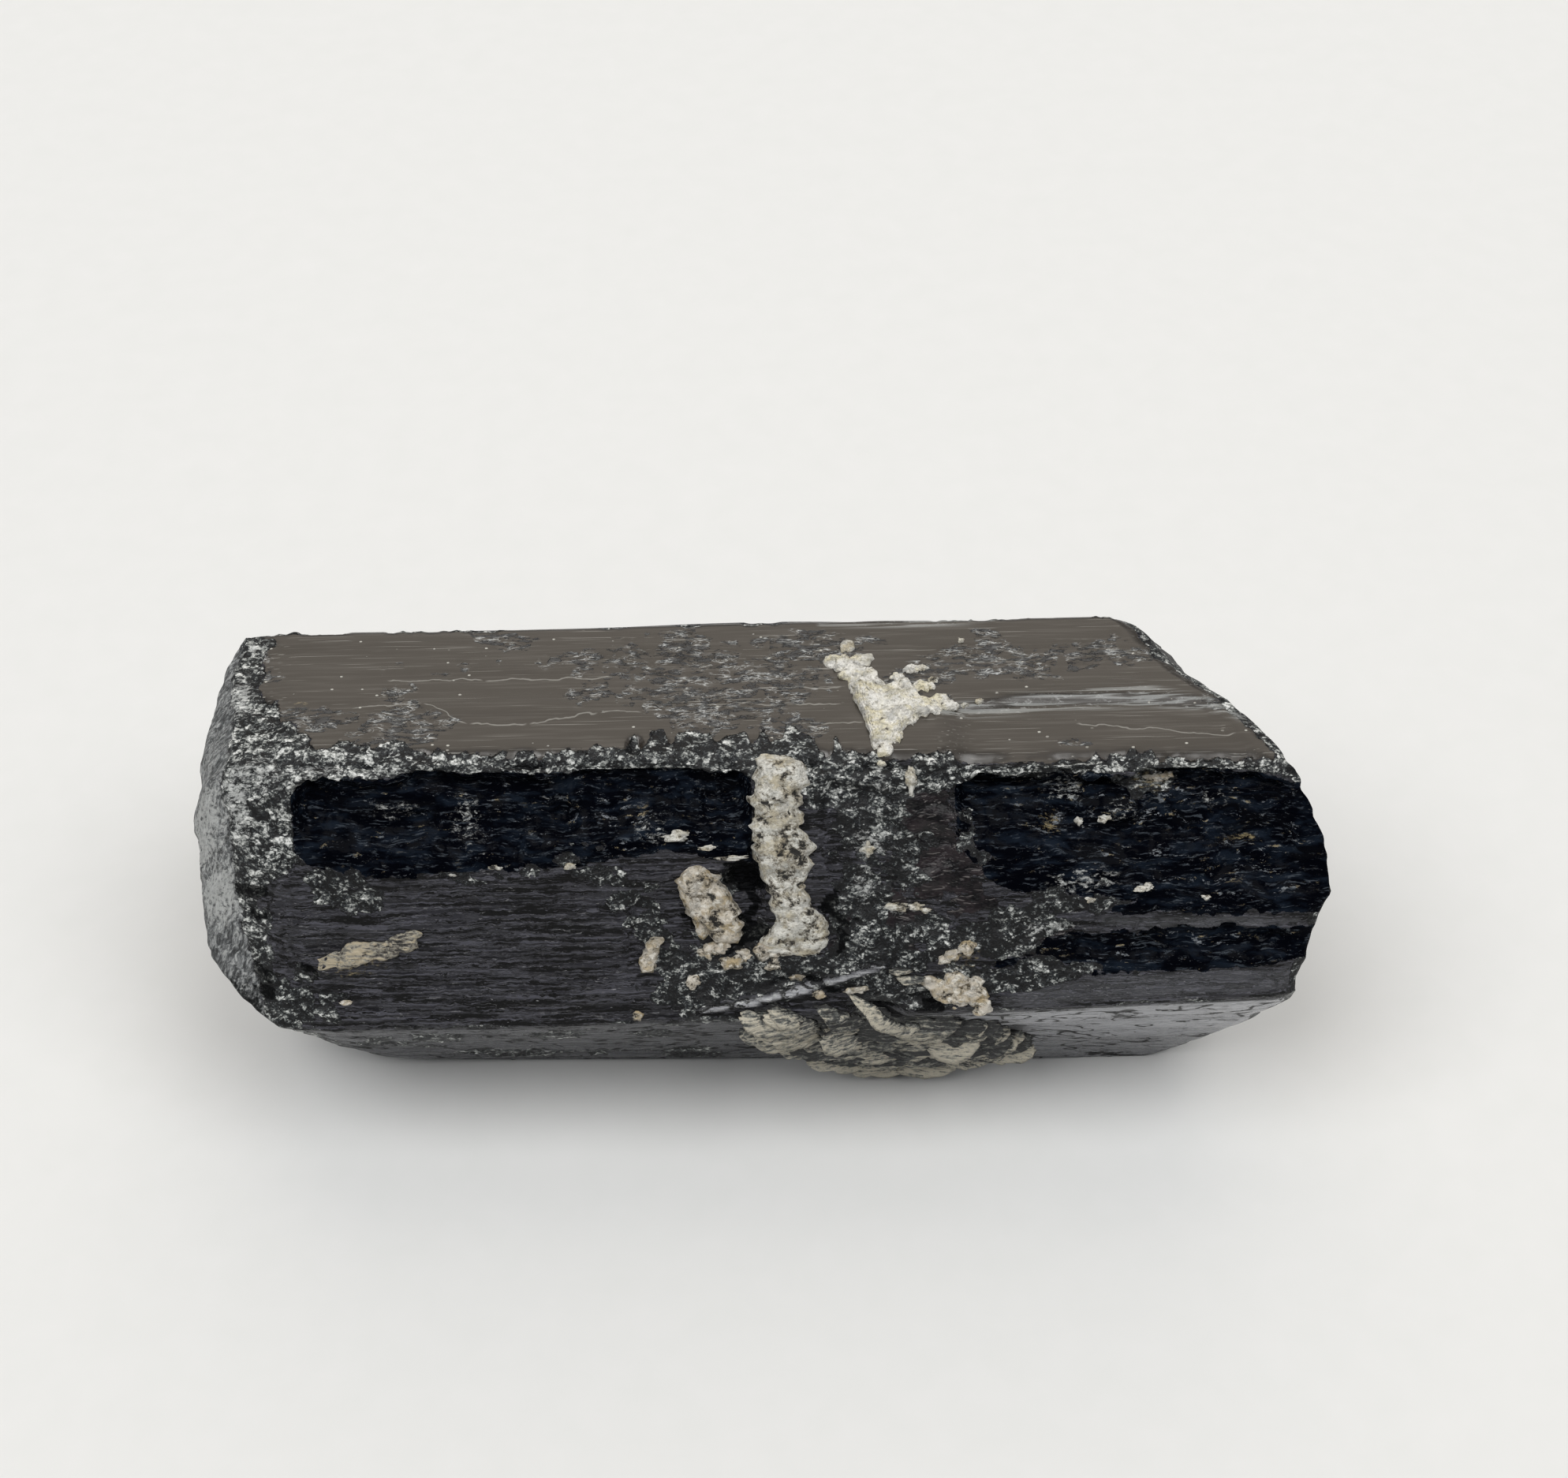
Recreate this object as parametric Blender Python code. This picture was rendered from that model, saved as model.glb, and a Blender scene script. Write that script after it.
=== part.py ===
"""Black tourmaline (schorl) crystal with feldspar and mica grown into it.

A stout six-sided prism lies on one of its long faces, with its length along X.
Both ends are broken, the upper front edge is crushed, and two glassy hollows
are broken out of the upper front face below it. Feldspar and mica sit in
sockets in the tourmaline, each mineral body as a solid of its own.

A place on the prism is given by x, along its length, and by girth, the way
round it. Girth is 0 on the crushed upper front edge and grows over the upper
front face, the lower front face, the resting face, the lower back face and
the upper back face, and ends on the top face, which is also -12.7 to 0.
Lengths are in millimetres, and MM turns them to Blender's metres.
"""

import bmesh
import bpy
import numpy as np

MM = 0.001
FOOTPRINT_MIDDLE = (-0.9, -0.35)       # (x, y) that becomes the origin, under the specimen's middle

# ---- the prism -------------------------------------------------------------
# Corners of the section as (y, z), in order of girth from the upper back edge.
# The prism grows a little stouter from its left to its right end.
MEASURED_AT = 36.0
LEFT_CORNERS = ((6.6, 30.0), (-5.5, 30.0), (-15.0, 13.7), (-7.2, 0.0), (6.1, 0.0), (15.1, 14.9))
RIGHT_CORNERS = ((6.8, 30.0), (-7.4, 30.0), (-15.6, 16.0), (-8.6, 0.0), (5.4, 0.0), (15.2, 15.8))
CORNER_GIRTHS = (-12.7, 0.0, 17.5, 34.1, 47.6, 65.7, 82.2)
GIRTH_ALL = CORNER_GIRTHS[-1] - CORNER_GIRTHS[0]
EDGE_ROUNDING = 0.35

# Where each broken end meets the long faces, as (girth, x).
LEFT_RIM = ((-12.7, -34.7), (-8.0, -35.0), (-1.0, -34.5), (4.0, -34.8), (9.0, -34.6), (15.0, -32.8),
            (24.0, -31.2), (34.1, -28.6), (47.6, -29.4), (58.0, -32.0), (65.7, -33.4), (76.0, -34.2))
RIGHT_RIM = ((-12.7, 25.2), (-8.0, 28.2), (-4.0, 32.0), (0.0, 34.4), (5.7, 36.1), (9.7, 37.0),
             (15.0, 35.5), (20.5, 35.0), (26.2, 33.2), (34.1, 29.0), (47.6, 24.0), (65.7, 22.0),
             (76.0, 23.6))
RIM_ROUNDING = 1.2
LEFT_MIDDLE = (-38.2, -2.5, 17.5)      # highest point of the left break
RIGHT_MIDDLE = (34.2, -2.5, 14.5)      # middle of the slanting right break
LEFT_DOME_POWER = 3.2
RIGHT_DOME_POWER = 2.4
# Depth worn off the long faces beside the left break, as (girth, depth).
LEFT_WEAR = ((-12.7, 0.2), (-2.0, 0.5), (5.0, 1.0), (13.0, 1.1), (18.0, 0.6), (34.1, 0.5),
             (47.6, 0.8), (65.7, 0.9), (76.0, 0.5))
LEFT_WEAR_WIDTH = 4.0
RIGHT_WEAR = 0.5
RIGHT_WEAR_WIDTH = 1.6

# ---- breaks and steps on the faces ------------------------------------------
# Glassy hollows in the upper front face, as (x, upper girth, lower girth).
LEFT_HOLLOW = ((-30.5, 1.6, 4.4), (-28.2, 0.9, 6.0), (-25.0, 0.8, 7.0), (-18.0, 0.5, 7.0),
               (-14.0, 0.8, 6.3), (-10.5, 0.4, 5.6), (-6.0, 0.2, 4.6), (-0.8, 0.9, 5.3))
LEFT_HOLLOW_DEPTH = 1.7
RIGHT_HOLLOW = ((12.2, 1.8, 4.0), (14.0, 1.2, 5.6), (18.0, 1.0, 6.0), (22.0, 0.9, 8.2),
                (26.0, 0.6, 10.0), (32.0, 0.5, 11.0), (37.0, 2.5, 11.4))
RIGHT_HOLLOW_DEPTH = 1.9
LOWER_HOLLOW = ((19.5, 12.2, 13.4), (23.0, 12.0, 14.6), (30.0, 12.0, 14.9), (36.5, 12.4, 14.4))
LOWER_HOLLOW_DEPTH = 0.7
ROUGH_BY_VEIN = ((3.6, 1.0, 8.0), (6.0, 0.8, 15.0), (9.0, 0.9, 15.2), (12.6, 1.4, 14.5))
ROUGH_BY_VEIN_DEPTH = 0.55
ROUGH_BY_PATCH = ((-9.4, 10.0, 15.6), (-7.6, 8.4, 16.8), (-4.4, 5.8, 16.9), (-1.6, 6.2, 16.6),
                  (0.2, 7.0, 15.4))
ROUGH_BY_PATCH_DEPTH = 0.5
# Hollows of the same kind on the two back faces.
BACK_HOLLOW = ((-22.0, 67.5, 69.0), (-17.0, 66.6, 72.4), (-9.0, 66.4, 73.6), (-3.0, 66.8, 71.0),
               (2.5, 67.6, 69.2))
BACK_HOLLOW_DEPTH = 1.1
LOW_BACK_HOLLOW = ((4.0, 58.0, 60.0), (9.0, 55.6, 62.0), (16.0, 55.0, 63.2), (23.5, 56.5, 61.0))
LOW_BACK_HOLLOW_DEPTH = 0.9

CRUSHED_WIDTH = 0.9                    # half width of the crushed upper front edge
CRUSHED_DEPTH = 0.55
STEP_ON_TOP = ((12.0, -4.3), (17.0, -4.9), (24.0, -5.2), (30.5, -4.5))   # foot of the growth step
STEP_RANGE = (11.0, 33.0)
STEP_HEIGHT = 0.45
STEP_WIDTH = 0.9
RIB_PITCH = 2.6                        # spacing of the coarse lengthwise ribs
RIB_HEIGHT = 0.17
WAVE_HEIGHT = 0.12
TOP_SMOOTHNESS = 0.35                  # share of the ribs and waves that the smooth top face keeps
LEFT_BREAK_RELIEF = 0.35
RIGHT_BREAK_RELIEF = 0.8
GRAIN_HEIGHT = 0.22                    # roughness of broken surfaces

# ---- minerals grown into the tourmaline ---------------------------------------
SOCKET_GAP = 0.3
SOCKET_CLEARANCE = 3.0                 # how far a cutter stands out of the face
RIM_BOTTOM = -1.2                      # where a mineral's underside ends, at its rim
RAGGED_EDGE = 0.2
LOWEST_MINERAL = 0.15                  # the minerals stay clear of what the crystal lies on
# A station is (place along the body, first edge, second edge). Bodies that run
# round the prism have their places in girth and their edges in x.
VEIN = ((-0.9, 0.0, 1.0), (0.1, -0.7, 2.6), (1.0, -0.8, 3.0), (2.6, -1.0, 2.7), (4.3, -1.0, 2.5),
        (5.8, -0.9, 3.4), (7.0, -0.8, 3.3), (8.5, 0.0, 2.7), (10.0, 0.1, 3.4), (11.0, 0.5, 4.2),
        (12.3, -0.6, 4.4), (13.3, -0.6, 4.2), (14.0, 0.4, 2.0))
PATCH = ((6.8, -5.1, -4.4), (7.8, -5.8, -3.1), (9.2, -5.8, -2.3), (10.2, -5.2, -1.8),
         (11.2, -3.9, -1.5), (12.4, -3.2, -1.9))
CHIP = ((11.8, -7.7, -6.8), (12.8, -8.1, -6.9), (14.2, -8.5, -7.6))
CRUST = ((5.6, -8.0, -7.2), (6.3, -8.3, -5.0), (7.2, -8.0, -1.3), (8.3, -6.8, -1.7),
         (9.5, -7.2, -3.2), (10.5, -5.6, -3.9), (11.9, -5.0, -4.2))
FLAKE = ((10.1, 14.9, 15.6), (11.3, 15.1, 16.8), (12.5, 15.5, 17.6), (13.7, 16.4, 17.2))
CLUSTER = ((-0.9, 17.4, 19.4), (0.5, 17.0, 22.3), (2.0, 17.6, 27.0), (4.0, 18.4, 31.0),
           (6.0, 18.2, 33.0), (8.5, 18.8, 33.4), (10.5, 18.4, 33.0), (12.5, 18.9, 32.0),
           (14.5, 21.5, 30.3), (17.2, 25.5, 28.3))
STREAK = ((-29.6, 12.6, 13.2), (-28.5, 12.2, 13.3), (-27.2, 11.4, 13.2), (-25.5, 11.6, 12.8),
          (-24.0, 10.8, 12.4), (-22.5, 10.6, 11.8))

# ---- mesh density --------------------------------------------------------------
LENGTH_SEGMENTS = 46
END_SEGMENTS = 14                      # across an end; four times as many run round the prism
FACE_SEGMENTS = (9, 15, 10, 4, 9, 9)   # of the top face and the next five, in order of girth

SCHORL = ((0.012, 0.012, 0.014, 1.0), 0.32)
FELDSPAR = ((0.42, 0.38, 0.29, 1.0), 0.62)
MICA = ((0.16, 0.14, 0.11, 1.0), 0.48)


# ---- small tools ------------------------------------------------------------------
def smooth_step(low, high, value):
    """0 below low, 1 above high, and an S-curve between them."""
    share = np.clip((value - low) / (high - low), 0.0, 1.0)
    return share * share * (3.0 - 2.0 * share)


def lattice_value(column, row, seed):
    """A repeatable number from 0 to 1 for each whole-numbered place."""
    mixed = (column * 374761393 + row * 668265263 + seed * 974634777) & 0xFFFFFFFF
    mixed = ((mixed ^ (mixed >> 13)) * 1274126177) & 0xFFFFFFFF
    return ((mixed ^ (mixed >> 16)) & 0xFFFF) / 65535.0


def noise(u, v, seed):
    """Smooth noise from -1 to 1, with one feature to each unit of u and v."""
    column = np.floor(u).astype(np.int64)
    row = np.floor(v).astype(np.int64)
    across = smooth_step(0.0, 1.0, u - column)
    up = smooth_step(0.0, 1.0, v - row)
    below = lattice_value(column, row, seed) * (1 - across)
    below = below + lattice_value(column + 1, row, seed) * across
    above = lattice_value(column, row + 1, seed) * (1 - across)
    above = above + lattice_value(column + 1, row + 1, seed) * across
    return 2.0 * (below * (1 - up) + above * up) - 1.0


def stations_at(stations, place):
    """Both edges of a stretch given by stations, at each place along it."""
    places, first, second = zip(*stations)
    return np.interp(place, places, first), np.interp(place, places, second)


# ---- the prism's surface ------------------------------------------------------------
def wrapped(girth):
    """Girth brought into the turn that starts on the upper back edge."""
    return (girth - CORNER_GIRTHS[0]) % GIRTH_ALL + CORNER_GIRTHS[0]


def flat_section(x, girth):
    """(y, z) on the flat-faced, sharp-edged prism."""
    girth = wrapped(girth)
    face = np.clip(np.searchsorted(CORNER_GIRTHS, girth, side="right") - 1, 0, 5)
    starts = np.array(CORNER_GIRTHS)
    share = ((girth - starts[face]) / (starts[face + 1] - starts[face]))[:, None]
    along = ((x + MEASURED_AT) / (2 * MEASURED_AT))[:, None]
    left = np.array(LEFT_CORNERS + LEFT_CORNERS[:1])
    right = np.array(RIGHT_CORNERS + RIGHT_CORNERS[:1])
    start = left[face] * (1 - along) + right[face] * along
    end = left[face + 1] * (1 - along) + right[face + 1] * along
    return start * (1 - share) + end * share


def section(x, girth):
    """(y, z) on the prism with its edges slightly rounded, and the outward normal there."""
    before = flat_section(x, girth - EDGE_ROUNDING)
    after = flat_section(x, girth + EDGE_ROUNDING)
    point = 0.25 * before + 0.5 * flat_section(x, girth) + 0.25 * after
    tangent = flat_section(x, girth + 2 * EDGE_ROUNDING) - flat_section(x, girth - 2 * EDGE_ROUNDING)
    tangent /= np.linalg.norm(tangent, axis=1)[:, None]
    return point, np.stack((tangent[:, 1], -tangent[:, 0]), axis=1)


def rim(stations, girth):
    """x of a broken end's rim, with its corners rounded."""
    girths, places = zip(*stations)
    turns = [np.interp(girth + shift, girths, places, period=GIRTH_ALL)
             for shift in (-RIM_ROUNDING, 0.0, RIM_ROUNDING)]
    return sum(turns) / 3.0


def hollow(x, girth, stations, depth, seed):
    """Depth of a broken-out hollow: a steep upper wall, scalloped, running out below."""
    upper, lower = stations_at(stations, x)
    upper = upper + 0.35 * noise(x / 1.6, np.zeros_like(x), seed)
    lower = lower + 0.5 * noise(x / 2.3, np.zeros_like(x), seed + 1)
    across = (girth - upper) / np.maximum(lower - upper, 0.4)
    wall = smooth_step(0.0, 0.28, across) * (1 - smooth_step(0.45, 1.0, across))
    ends = smooth_step(stations[0][0] - 0.3, stations[0][0] + 1.6, x)
    ends = ends * (1 - smooth_step(stations[-1][0] - 1.6, stations[-1][0] + 0.3, x))
    scallops = 0.75 + 0.25 * noise(x / 2.8, girth / 1.9, seed + 2)
    return depth * wall * ends * scallops


def growth_step(x, girth):
    """Drop of the front of the top face below its back, over the right part."""
    places, girths = zip(*STEP_ON_TOP)
    foot = np.interp(x, places, girths)
    reach = smooth_step(STEP_RANGE[0], STEP_RANGE[0] + 3.0, x)
    on_top = (girth < 2.0) & (girth > CORNER_GIRTHS[0])
    return STEP_HEIGHT * reach * on_top * smooth_step(foot - STEP_WIDTH, foot, girth)


def relief(x, girth):
    """Height of the real surface over the plain prism."""
    girth = wrapped(girth)
    waves = WAVE_HEIGHT * noise(x / 14.0, girth / 5.0, 11)
    ribs = RIB_HEIGHT * noise(x / 16.0, girth / (RIB_PITCH / 2), 12)
    height = (waves + ribs) * np.where(girth < -1.0, TOP_SMOOTHNESS, 1.0)
    crushed = np.exp(-(girth / CRUSHED_WIDTH) ** 2)
    height -= crushed * (CRUSHED_DEPTH + 0.4 * noise(x / 1.5, girth / 1.2, 13))
    broken = np.zeros_like(height)
    for stations, depth, seed in ((LEFT_HOLLOW, LEFT_HOLLOW_DEPTH, 21),
                                  (RIGHT_HOLLOW, RIGHT_HOLLOW_DEPTH, 31),
                                  (LOWER_HOLLOW, LOWER_HOLLOW_DEPTH, 41),
                                  (ROUGH_BY_VEIN, ROUGH_BY_VEIN_DEPTH, 51),
                                  (ROUGH_BY_PATCH, ROUGH_BY_PATCH_DEPTH, 91),
                                  (BACK_HOLLOW, BACK_HOLLOW_DEPTH, 61),
                                  (LOW_BACK_HOLLOW, LOW_BACK_HOLLOW_DEPTH, 71)):
        broken = np.maximum(broken, hollow(x, girth, stations, depth, seed))
    height -= broken
    height -= GRAIN_HEIGHT * smooth_step(0.1, 0.5, broken) * noise(x / 1.6, girth / 1.3, 14)
    return height - growth_step(x, girth)


def worn_rim(x, left_end, right_end, girth):
    """Inward set of the long faces beside the two broken ends."""
    girths, depths = zip(*LEFT_WEAR)
    left_depth = np.interp(girth, girths, depths, period=GIRTH_ALL)
    left_share = np.clip(1 - (x - left_end) / LEFT_WEAR_WIDTH, 0.0, 1.0)
    right_share = np.clip(1 - (right_end - x) / RIGHT_WEAR_WIDTH, 0.0, 1.0)
    uneven = 1.0 + 0.25 * noise(x / 3.0, girth / 2.8, 15)
    return uneven * (left_depth * left_share ** 1.5 + RIGHT_WEAR * right_share ** 1.5)


def surface(x, girth, height):
    """3-D points at a height over the plain prism."""
    point, normal = section(x, girth)
    place = point + normal * height[:, None]
    return np.column_stack((x, place[:, 0], place[:, 1]))


# ---- the crystal ---------------------------------------------------------------------
def split_along(bm, axis, count):
    """Cut a box into equal slices along one axis."""
    along = [e for e in bm.edges if abs((e.verts[0].co - e.verts[1].co)[axis]) > 1e-6]
    bmesh.ops.subdivide_edges(bm, edges=along, cuts=count - 1, use_grid_fill=True)


def girth_of_grid(y, z):
    """Girth for each place on the rim of the unit square that the section starts from."""
    side = END_SEGMENTS
    steps = np.select(
        [z >= 1 - 1e-6, y <= -1 + 1e-6, z <= -1 + 1e-6],
        [(1 - y) / 2 * side, side + (1 - z) / 2 * side, 2 * side + (1 + y) / 2 * side],
        3 * side + (1 + z) / 2 * side)
    marks = [CORNER_GIRTHS[0]]
    for face, count in enumerate(FACE_SEGMENTS):
        marks.extend(np.linspace(CORNER_GIRTHS[face], CORNER_GIRTHS[face + 1], count + 1)[1:])
    return np.interp(steps, np.arange(len(marks)), marks)


def long_side(share, girth):
    """Points of the long faces. share runs from 0 at the left break to 1 at the right one."""
    left_end = rim(LEFT_RIM, girth)
    right_end = rim(RIGHT_RIM, girth)
    x = left_end + (right_end - left_end) * share
    calm = smooth_step(-1.0, 3.0, np.minimum(x - left_end, right_end - x))
    height = relief(x, girth) * calm - worn_rim(x, left_end, right_end, girth)
    return surface(x, girth, height)


def broken_end(at_right, reach, girth):
    """Points of a broken end. reach runs from 0 in its middle to 1 on its rim."""
    edge = long_side(np.full_like(girth, float(at_right)), girth)
    middle = np.array(RIGHT_MIDDLE if at_right else LEFT_MIDDLE)
    power = RIGHT_DOME_POWER if at_right else LEFT_DOME_POWER
    flat = edge * reach[:, None] + middle * (1 - reach)[:, None]
    bulge = reach ** power
    flat[:, 0] = edge[:, 0] * bulge + middle[0] * (1 - bulge)
    rough = noise(flat[:, 1] / 3.2, flat[:, 2] / 2.4, 81 + at_right)
    rough += 0.5 * noise(flat[:, 1] / 1.5, flat[:, 2] / 1.7, 83 + at_right)
    flat[:, 0] += (RIGHT_BREAK_RELIEF if at_right else LEFT_BREAK_RELIEF) * rough * (1 - reach ** 6)
    return flat


def make_crystal(collection, material):
    """The tourmaline: a box of quads, bent to the prism and broken where it is."""
    bm = bmesh.new()
    bmesh.ops.create_cube(bm, size=2.0)
    for axis, count in enumerate((LENGTH_SEGMENTS, END_SEGMENTS, END_SEGMENTS)):
        split_along(bm, axis, count)
    grid = np.array([v.co for v in bm.verts])
    reach = np.maximum(abs(grid[:, 1]), abs(grid[:, 2]))
    safe = np.maximum(reach, 1e-9)[:, None]
    girth = girth_of_grid(*(grid[:, 1:] / safe).T)
    on_side = reach > 1 - 1e-6
    points = long_side((grid[:, 0] + 1) / 2, girth)
    for at_right in (0, 1):
        cap = ~on_side & (grid[:, 0] * (2 * at_right - 1) > 0)
        points[cap] = broken_end(at_right, reach[cap], girth[cap])
    points[:, 2] = np.maximum(points[:, 2], 0.0)
    return finished("tourmaline_crystal", bm, points, collection, material)


# ---- the minerals in it -----------------------------------------------------------------
def mineral_points(grid, stations, round_prism, proud, rim_top, deep, lump, seed, grow):
    """Bend a unit box to a lumpy body along its stations, grown by a margin for a cutter."""
    first_place, last_place = stations[0][0], stations[-1][0]
    place = first_place + (last_place - first_place) * (grid[:, 0] + 1) / 2
    near, far = stations_at(stations, place)
    near = near + RAGGED_EDGE * noise(place / 0.9, np.zeros_like(place), seed + 20)
    far = far + RAGGED_EDGE * noise(place / 0.9, np.zeros_like(place), seed + 40)
    place = place + grow * grid[:, 0]
    middle, half = (near + far) / 2, (far - near) / 2 + grow
    across = middle + half * grid[:, 1]
    x, girth = (across, place) if round_prism else (place, across)
    roundness = (1 - abs(grid[:, 1]) ** 6) * (1 - abs(grid[:, 0]) ** 6)
    lumps = lump * noise(x / 1.3, girth / 1.1, seed) * roundness
    top = rim_top + (proud - rim_top) * roundness + lumps
    if grow:
        top = np.full_like(top, SOCKET_CLEARANCE)
    bottom = RIM_BOTTOM + (-deep - RIM_BOTTOM) * roundness - grow
    face = surface(x, girth, np.zeros_like(x))
    outward = section(x, girth)[1].mean(axis=0)
    outward /= np.linalg.norm(outward)
    points = face + np.where(grid[:, 2] > 0, top, bottom)[:, None] * np.array((0.0, *outward))
    if not grow:
        points[:, 2] = np.maximum(points[:, 2], LOWEST_MINERAL)
    return points


def make_mineral(name, collection, material, stations, proud, rim_top, deep, lump, seed,
                 round_prism=False, segments=(10, 4), grow=0.0):
    """A mineral body, or with grow the cutter that makes its socket."""
    bm = bmesh.new()
    bmesh.ops.create_cube(bm, size=2.0)
    for axis, count in enumerate(segments):
        split_along(bm, axis, count)
    grid = np.array([v.co for v in bm.verts])
    points = mineral_points(grid, stations, round_prism, proud, rim_top, deep, lump, seed, grow)
    if not round_prism:
        bmesh.ops.reverse_faces(bm, faces=bm.faces)
    return finished(name, bm, points, collection, material)


MINERALS = (
    ("feldspar_vein", FELDSPAR, dict(stations=VEIN, proud=0.6, rim_top=-0.7, deep=2.2, lump=0.35,
                                     seed=101, round_prism=True, segments=(15, 4))),
    ("feldspar_patch", FELDSPAR, dict(stations=PATCH, proud=0.45, rim_top=-0.4, deep=1.8, lump=0.3,
                                      seed=102, round_prism=True, segments=(7, 4))),
    ("feldspar_chip", FELDSPAR, dict(stations=CHIP, proud=0.25, rim_top=-0.2, deep=1.5, lump=0.1,
                                     seed=103, round_prism=True, segments=(4, 2))),
    ("feldspar_crust", FELDSPAR, dict(stations=CRUST, proud=0.6, rim_top=-0.05, deep=1.5, lump=0.35,
                                      seed=104, segments=(8, 6))),
    ("feldspar_flake", FELDSPAR, dict(stations=FLAKE, proud=0.5, rim_top=-0.2, deep=1.5, lump=0.15,
                                      seed=105, segments=(5, 3))),
    ("mica_cluster", MICA, dict(stations=CLUSTER, proud=1.3, rim_top=-0.1, deep=1.9, lump=0.5,
                                seed=106, segments=(14, 7))),
    ("mica_streak", MICA, dict(stations=STREAK, proud=0.15, rim_top=-0.05, deep=1.5, lump=0.1,
                               seed=107, segments=(7, 3))),
)


# ---- objects, materials, collections ----------------------------------------------------------
def finished(name, bm, points, collection, material):
    """Bend a bmesh to its points, and make it a named object with its material."""
    placed = (points - np.array((*FOOTPRINT_MIDDLE, 0.0))) * MM
    for vertex, place in zip(bm.verts, placed):
        vertex.co = place
    bmesh.ops.triangulate(bm, faces=bm.faces)
    mesh = bpy.data.meshes.new(name)
    bm.to_mesh(mesh)
    bm.free()
    mesh.materials.append(material)
    piece = bpy.data.objects.new(name, mesh)
    collection.objects.link(piece)
    return piece


def make_material(name, colour, roughness):
    """A plain stone material."""
    material = bpy.data.materials.new(name)
    material.use_nodes = True
    shader = material.node_tree.nodes["Principled BSDF"]
    shader.inputs["Base Color"].default_value = colour
    shader.inputs["Roughness"].default_value = roughness
    shader.inputs["Metallic"].default_value = 0.0
    return material


def new_collection(name):
    """A collection in the scene."""
    collection = bpy.data.collections.new(name)
    bpy.context.scene.collection.children.link(collection)
    return collection


def cut_socket(crystal, cutter):
    """Sink a mineral's socket into the tourmaline."""
    cutter.hide_render = True
    cutter.display_type = "WIRE"
    socket = crystal.modifiers.new("socket_" + cutter.name, "BOOLEAN")
    socket.operation = "DIFFERENCE"
    socket.solver = "EXACT"
    socket.object = cutter


def main():
    """Build the whole specimen."""
    for old in list(bpy.data.objects):
        bpy.data.objects.remove(old)
    parts = new_collection("tourmaline_specimen")
    cutters = new_collection("socket_cutters")
    materials = {SCHORL: make_material("schorl", *SCHORL),
                 FELDSPAR: make_material("feldspar", *FELDSPAR),
                 MICA: make_material("mica", *MICA)}
    crystal = make_crystal(parts, materials[SCHORL])
    for name, finish, body in MINERALS:
        make_mineral(name, parts, materials[finish], **body)
        cutter = make_mineral(name + "_cutter", cutters, materials[finish], grow=SOCKET_GAP, **body)
        cut_socket(crystal, cutter)


main()
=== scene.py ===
"""Looks of a black tourmaline (schorl) crystal with feldspar and mica grown into it.

The tourmaline is built again from the form of its solid, fine enough for grooves,
scallops and crushed grains, and carries masks that say where each kind of surface
is. The feldspar and mica bodies are built again in the same way, with grains and
flakes. Lengths are in millimetres until finished(), which turns them to metres.

A place on the prism is given by x, along its length, and by girth, the way round
it. Girth is 0 on the crushed upper front edge and grows over the upper front face,
the lower front face, the resting face, the lower back face and the upper back
face, and ends on the top face, which is also -12.7 to 0.
"""

from math import radians

import bmesh
import bpy
import numpy as np
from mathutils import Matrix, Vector


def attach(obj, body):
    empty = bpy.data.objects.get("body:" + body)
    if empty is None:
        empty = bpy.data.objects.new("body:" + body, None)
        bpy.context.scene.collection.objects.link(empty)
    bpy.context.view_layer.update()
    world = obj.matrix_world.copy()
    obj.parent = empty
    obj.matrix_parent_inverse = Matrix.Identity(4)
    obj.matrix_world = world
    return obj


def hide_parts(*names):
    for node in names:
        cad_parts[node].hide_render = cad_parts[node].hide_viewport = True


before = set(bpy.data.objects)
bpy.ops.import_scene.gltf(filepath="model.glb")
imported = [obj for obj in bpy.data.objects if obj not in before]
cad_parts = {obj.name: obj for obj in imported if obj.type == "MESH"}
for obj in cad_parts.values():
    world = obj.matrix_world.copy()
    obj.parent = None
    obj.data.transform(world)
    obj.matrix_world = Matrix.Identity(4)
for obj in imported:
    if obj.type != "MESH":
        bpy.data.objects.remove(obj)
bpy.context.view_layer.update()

MM = 0.001
FOOTPRINT_MIDDLE = (-0.9, -0.35)  # (x, y) that becomes the origin, under the specimen's middle

# ---- the prism ----
MEASURED_AT = 36.0  # the corners are given as (y, z) at x of -36 and 36
LEFT_CORNERS = ((6.6, 30.0), (-5.5, 30.0), (-15.0, 13.7), (-7.2, 0.0), (6.1, 0.0), (15.1, 14.9))
RIGHT_CORNERS = ((6.8, 30.0), (-7.4, 30.0), (-15.6, 16.0), (-8.6, 0.0), (5.4, 0.0), (15.2, 15.8))
# Girths of the corners, from the upper back edge over the top face and round to it again.
CORNER_GIRTHS = (-12.7, 0.0, 17.5, 34.1, 47.6, 65.7, 82.2)
GIRTH_ALL = CORNER_GIRTHS[-1] - CORNER_GIRTHS[0]
EDGE_ROUNDING = 0.35
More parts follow.
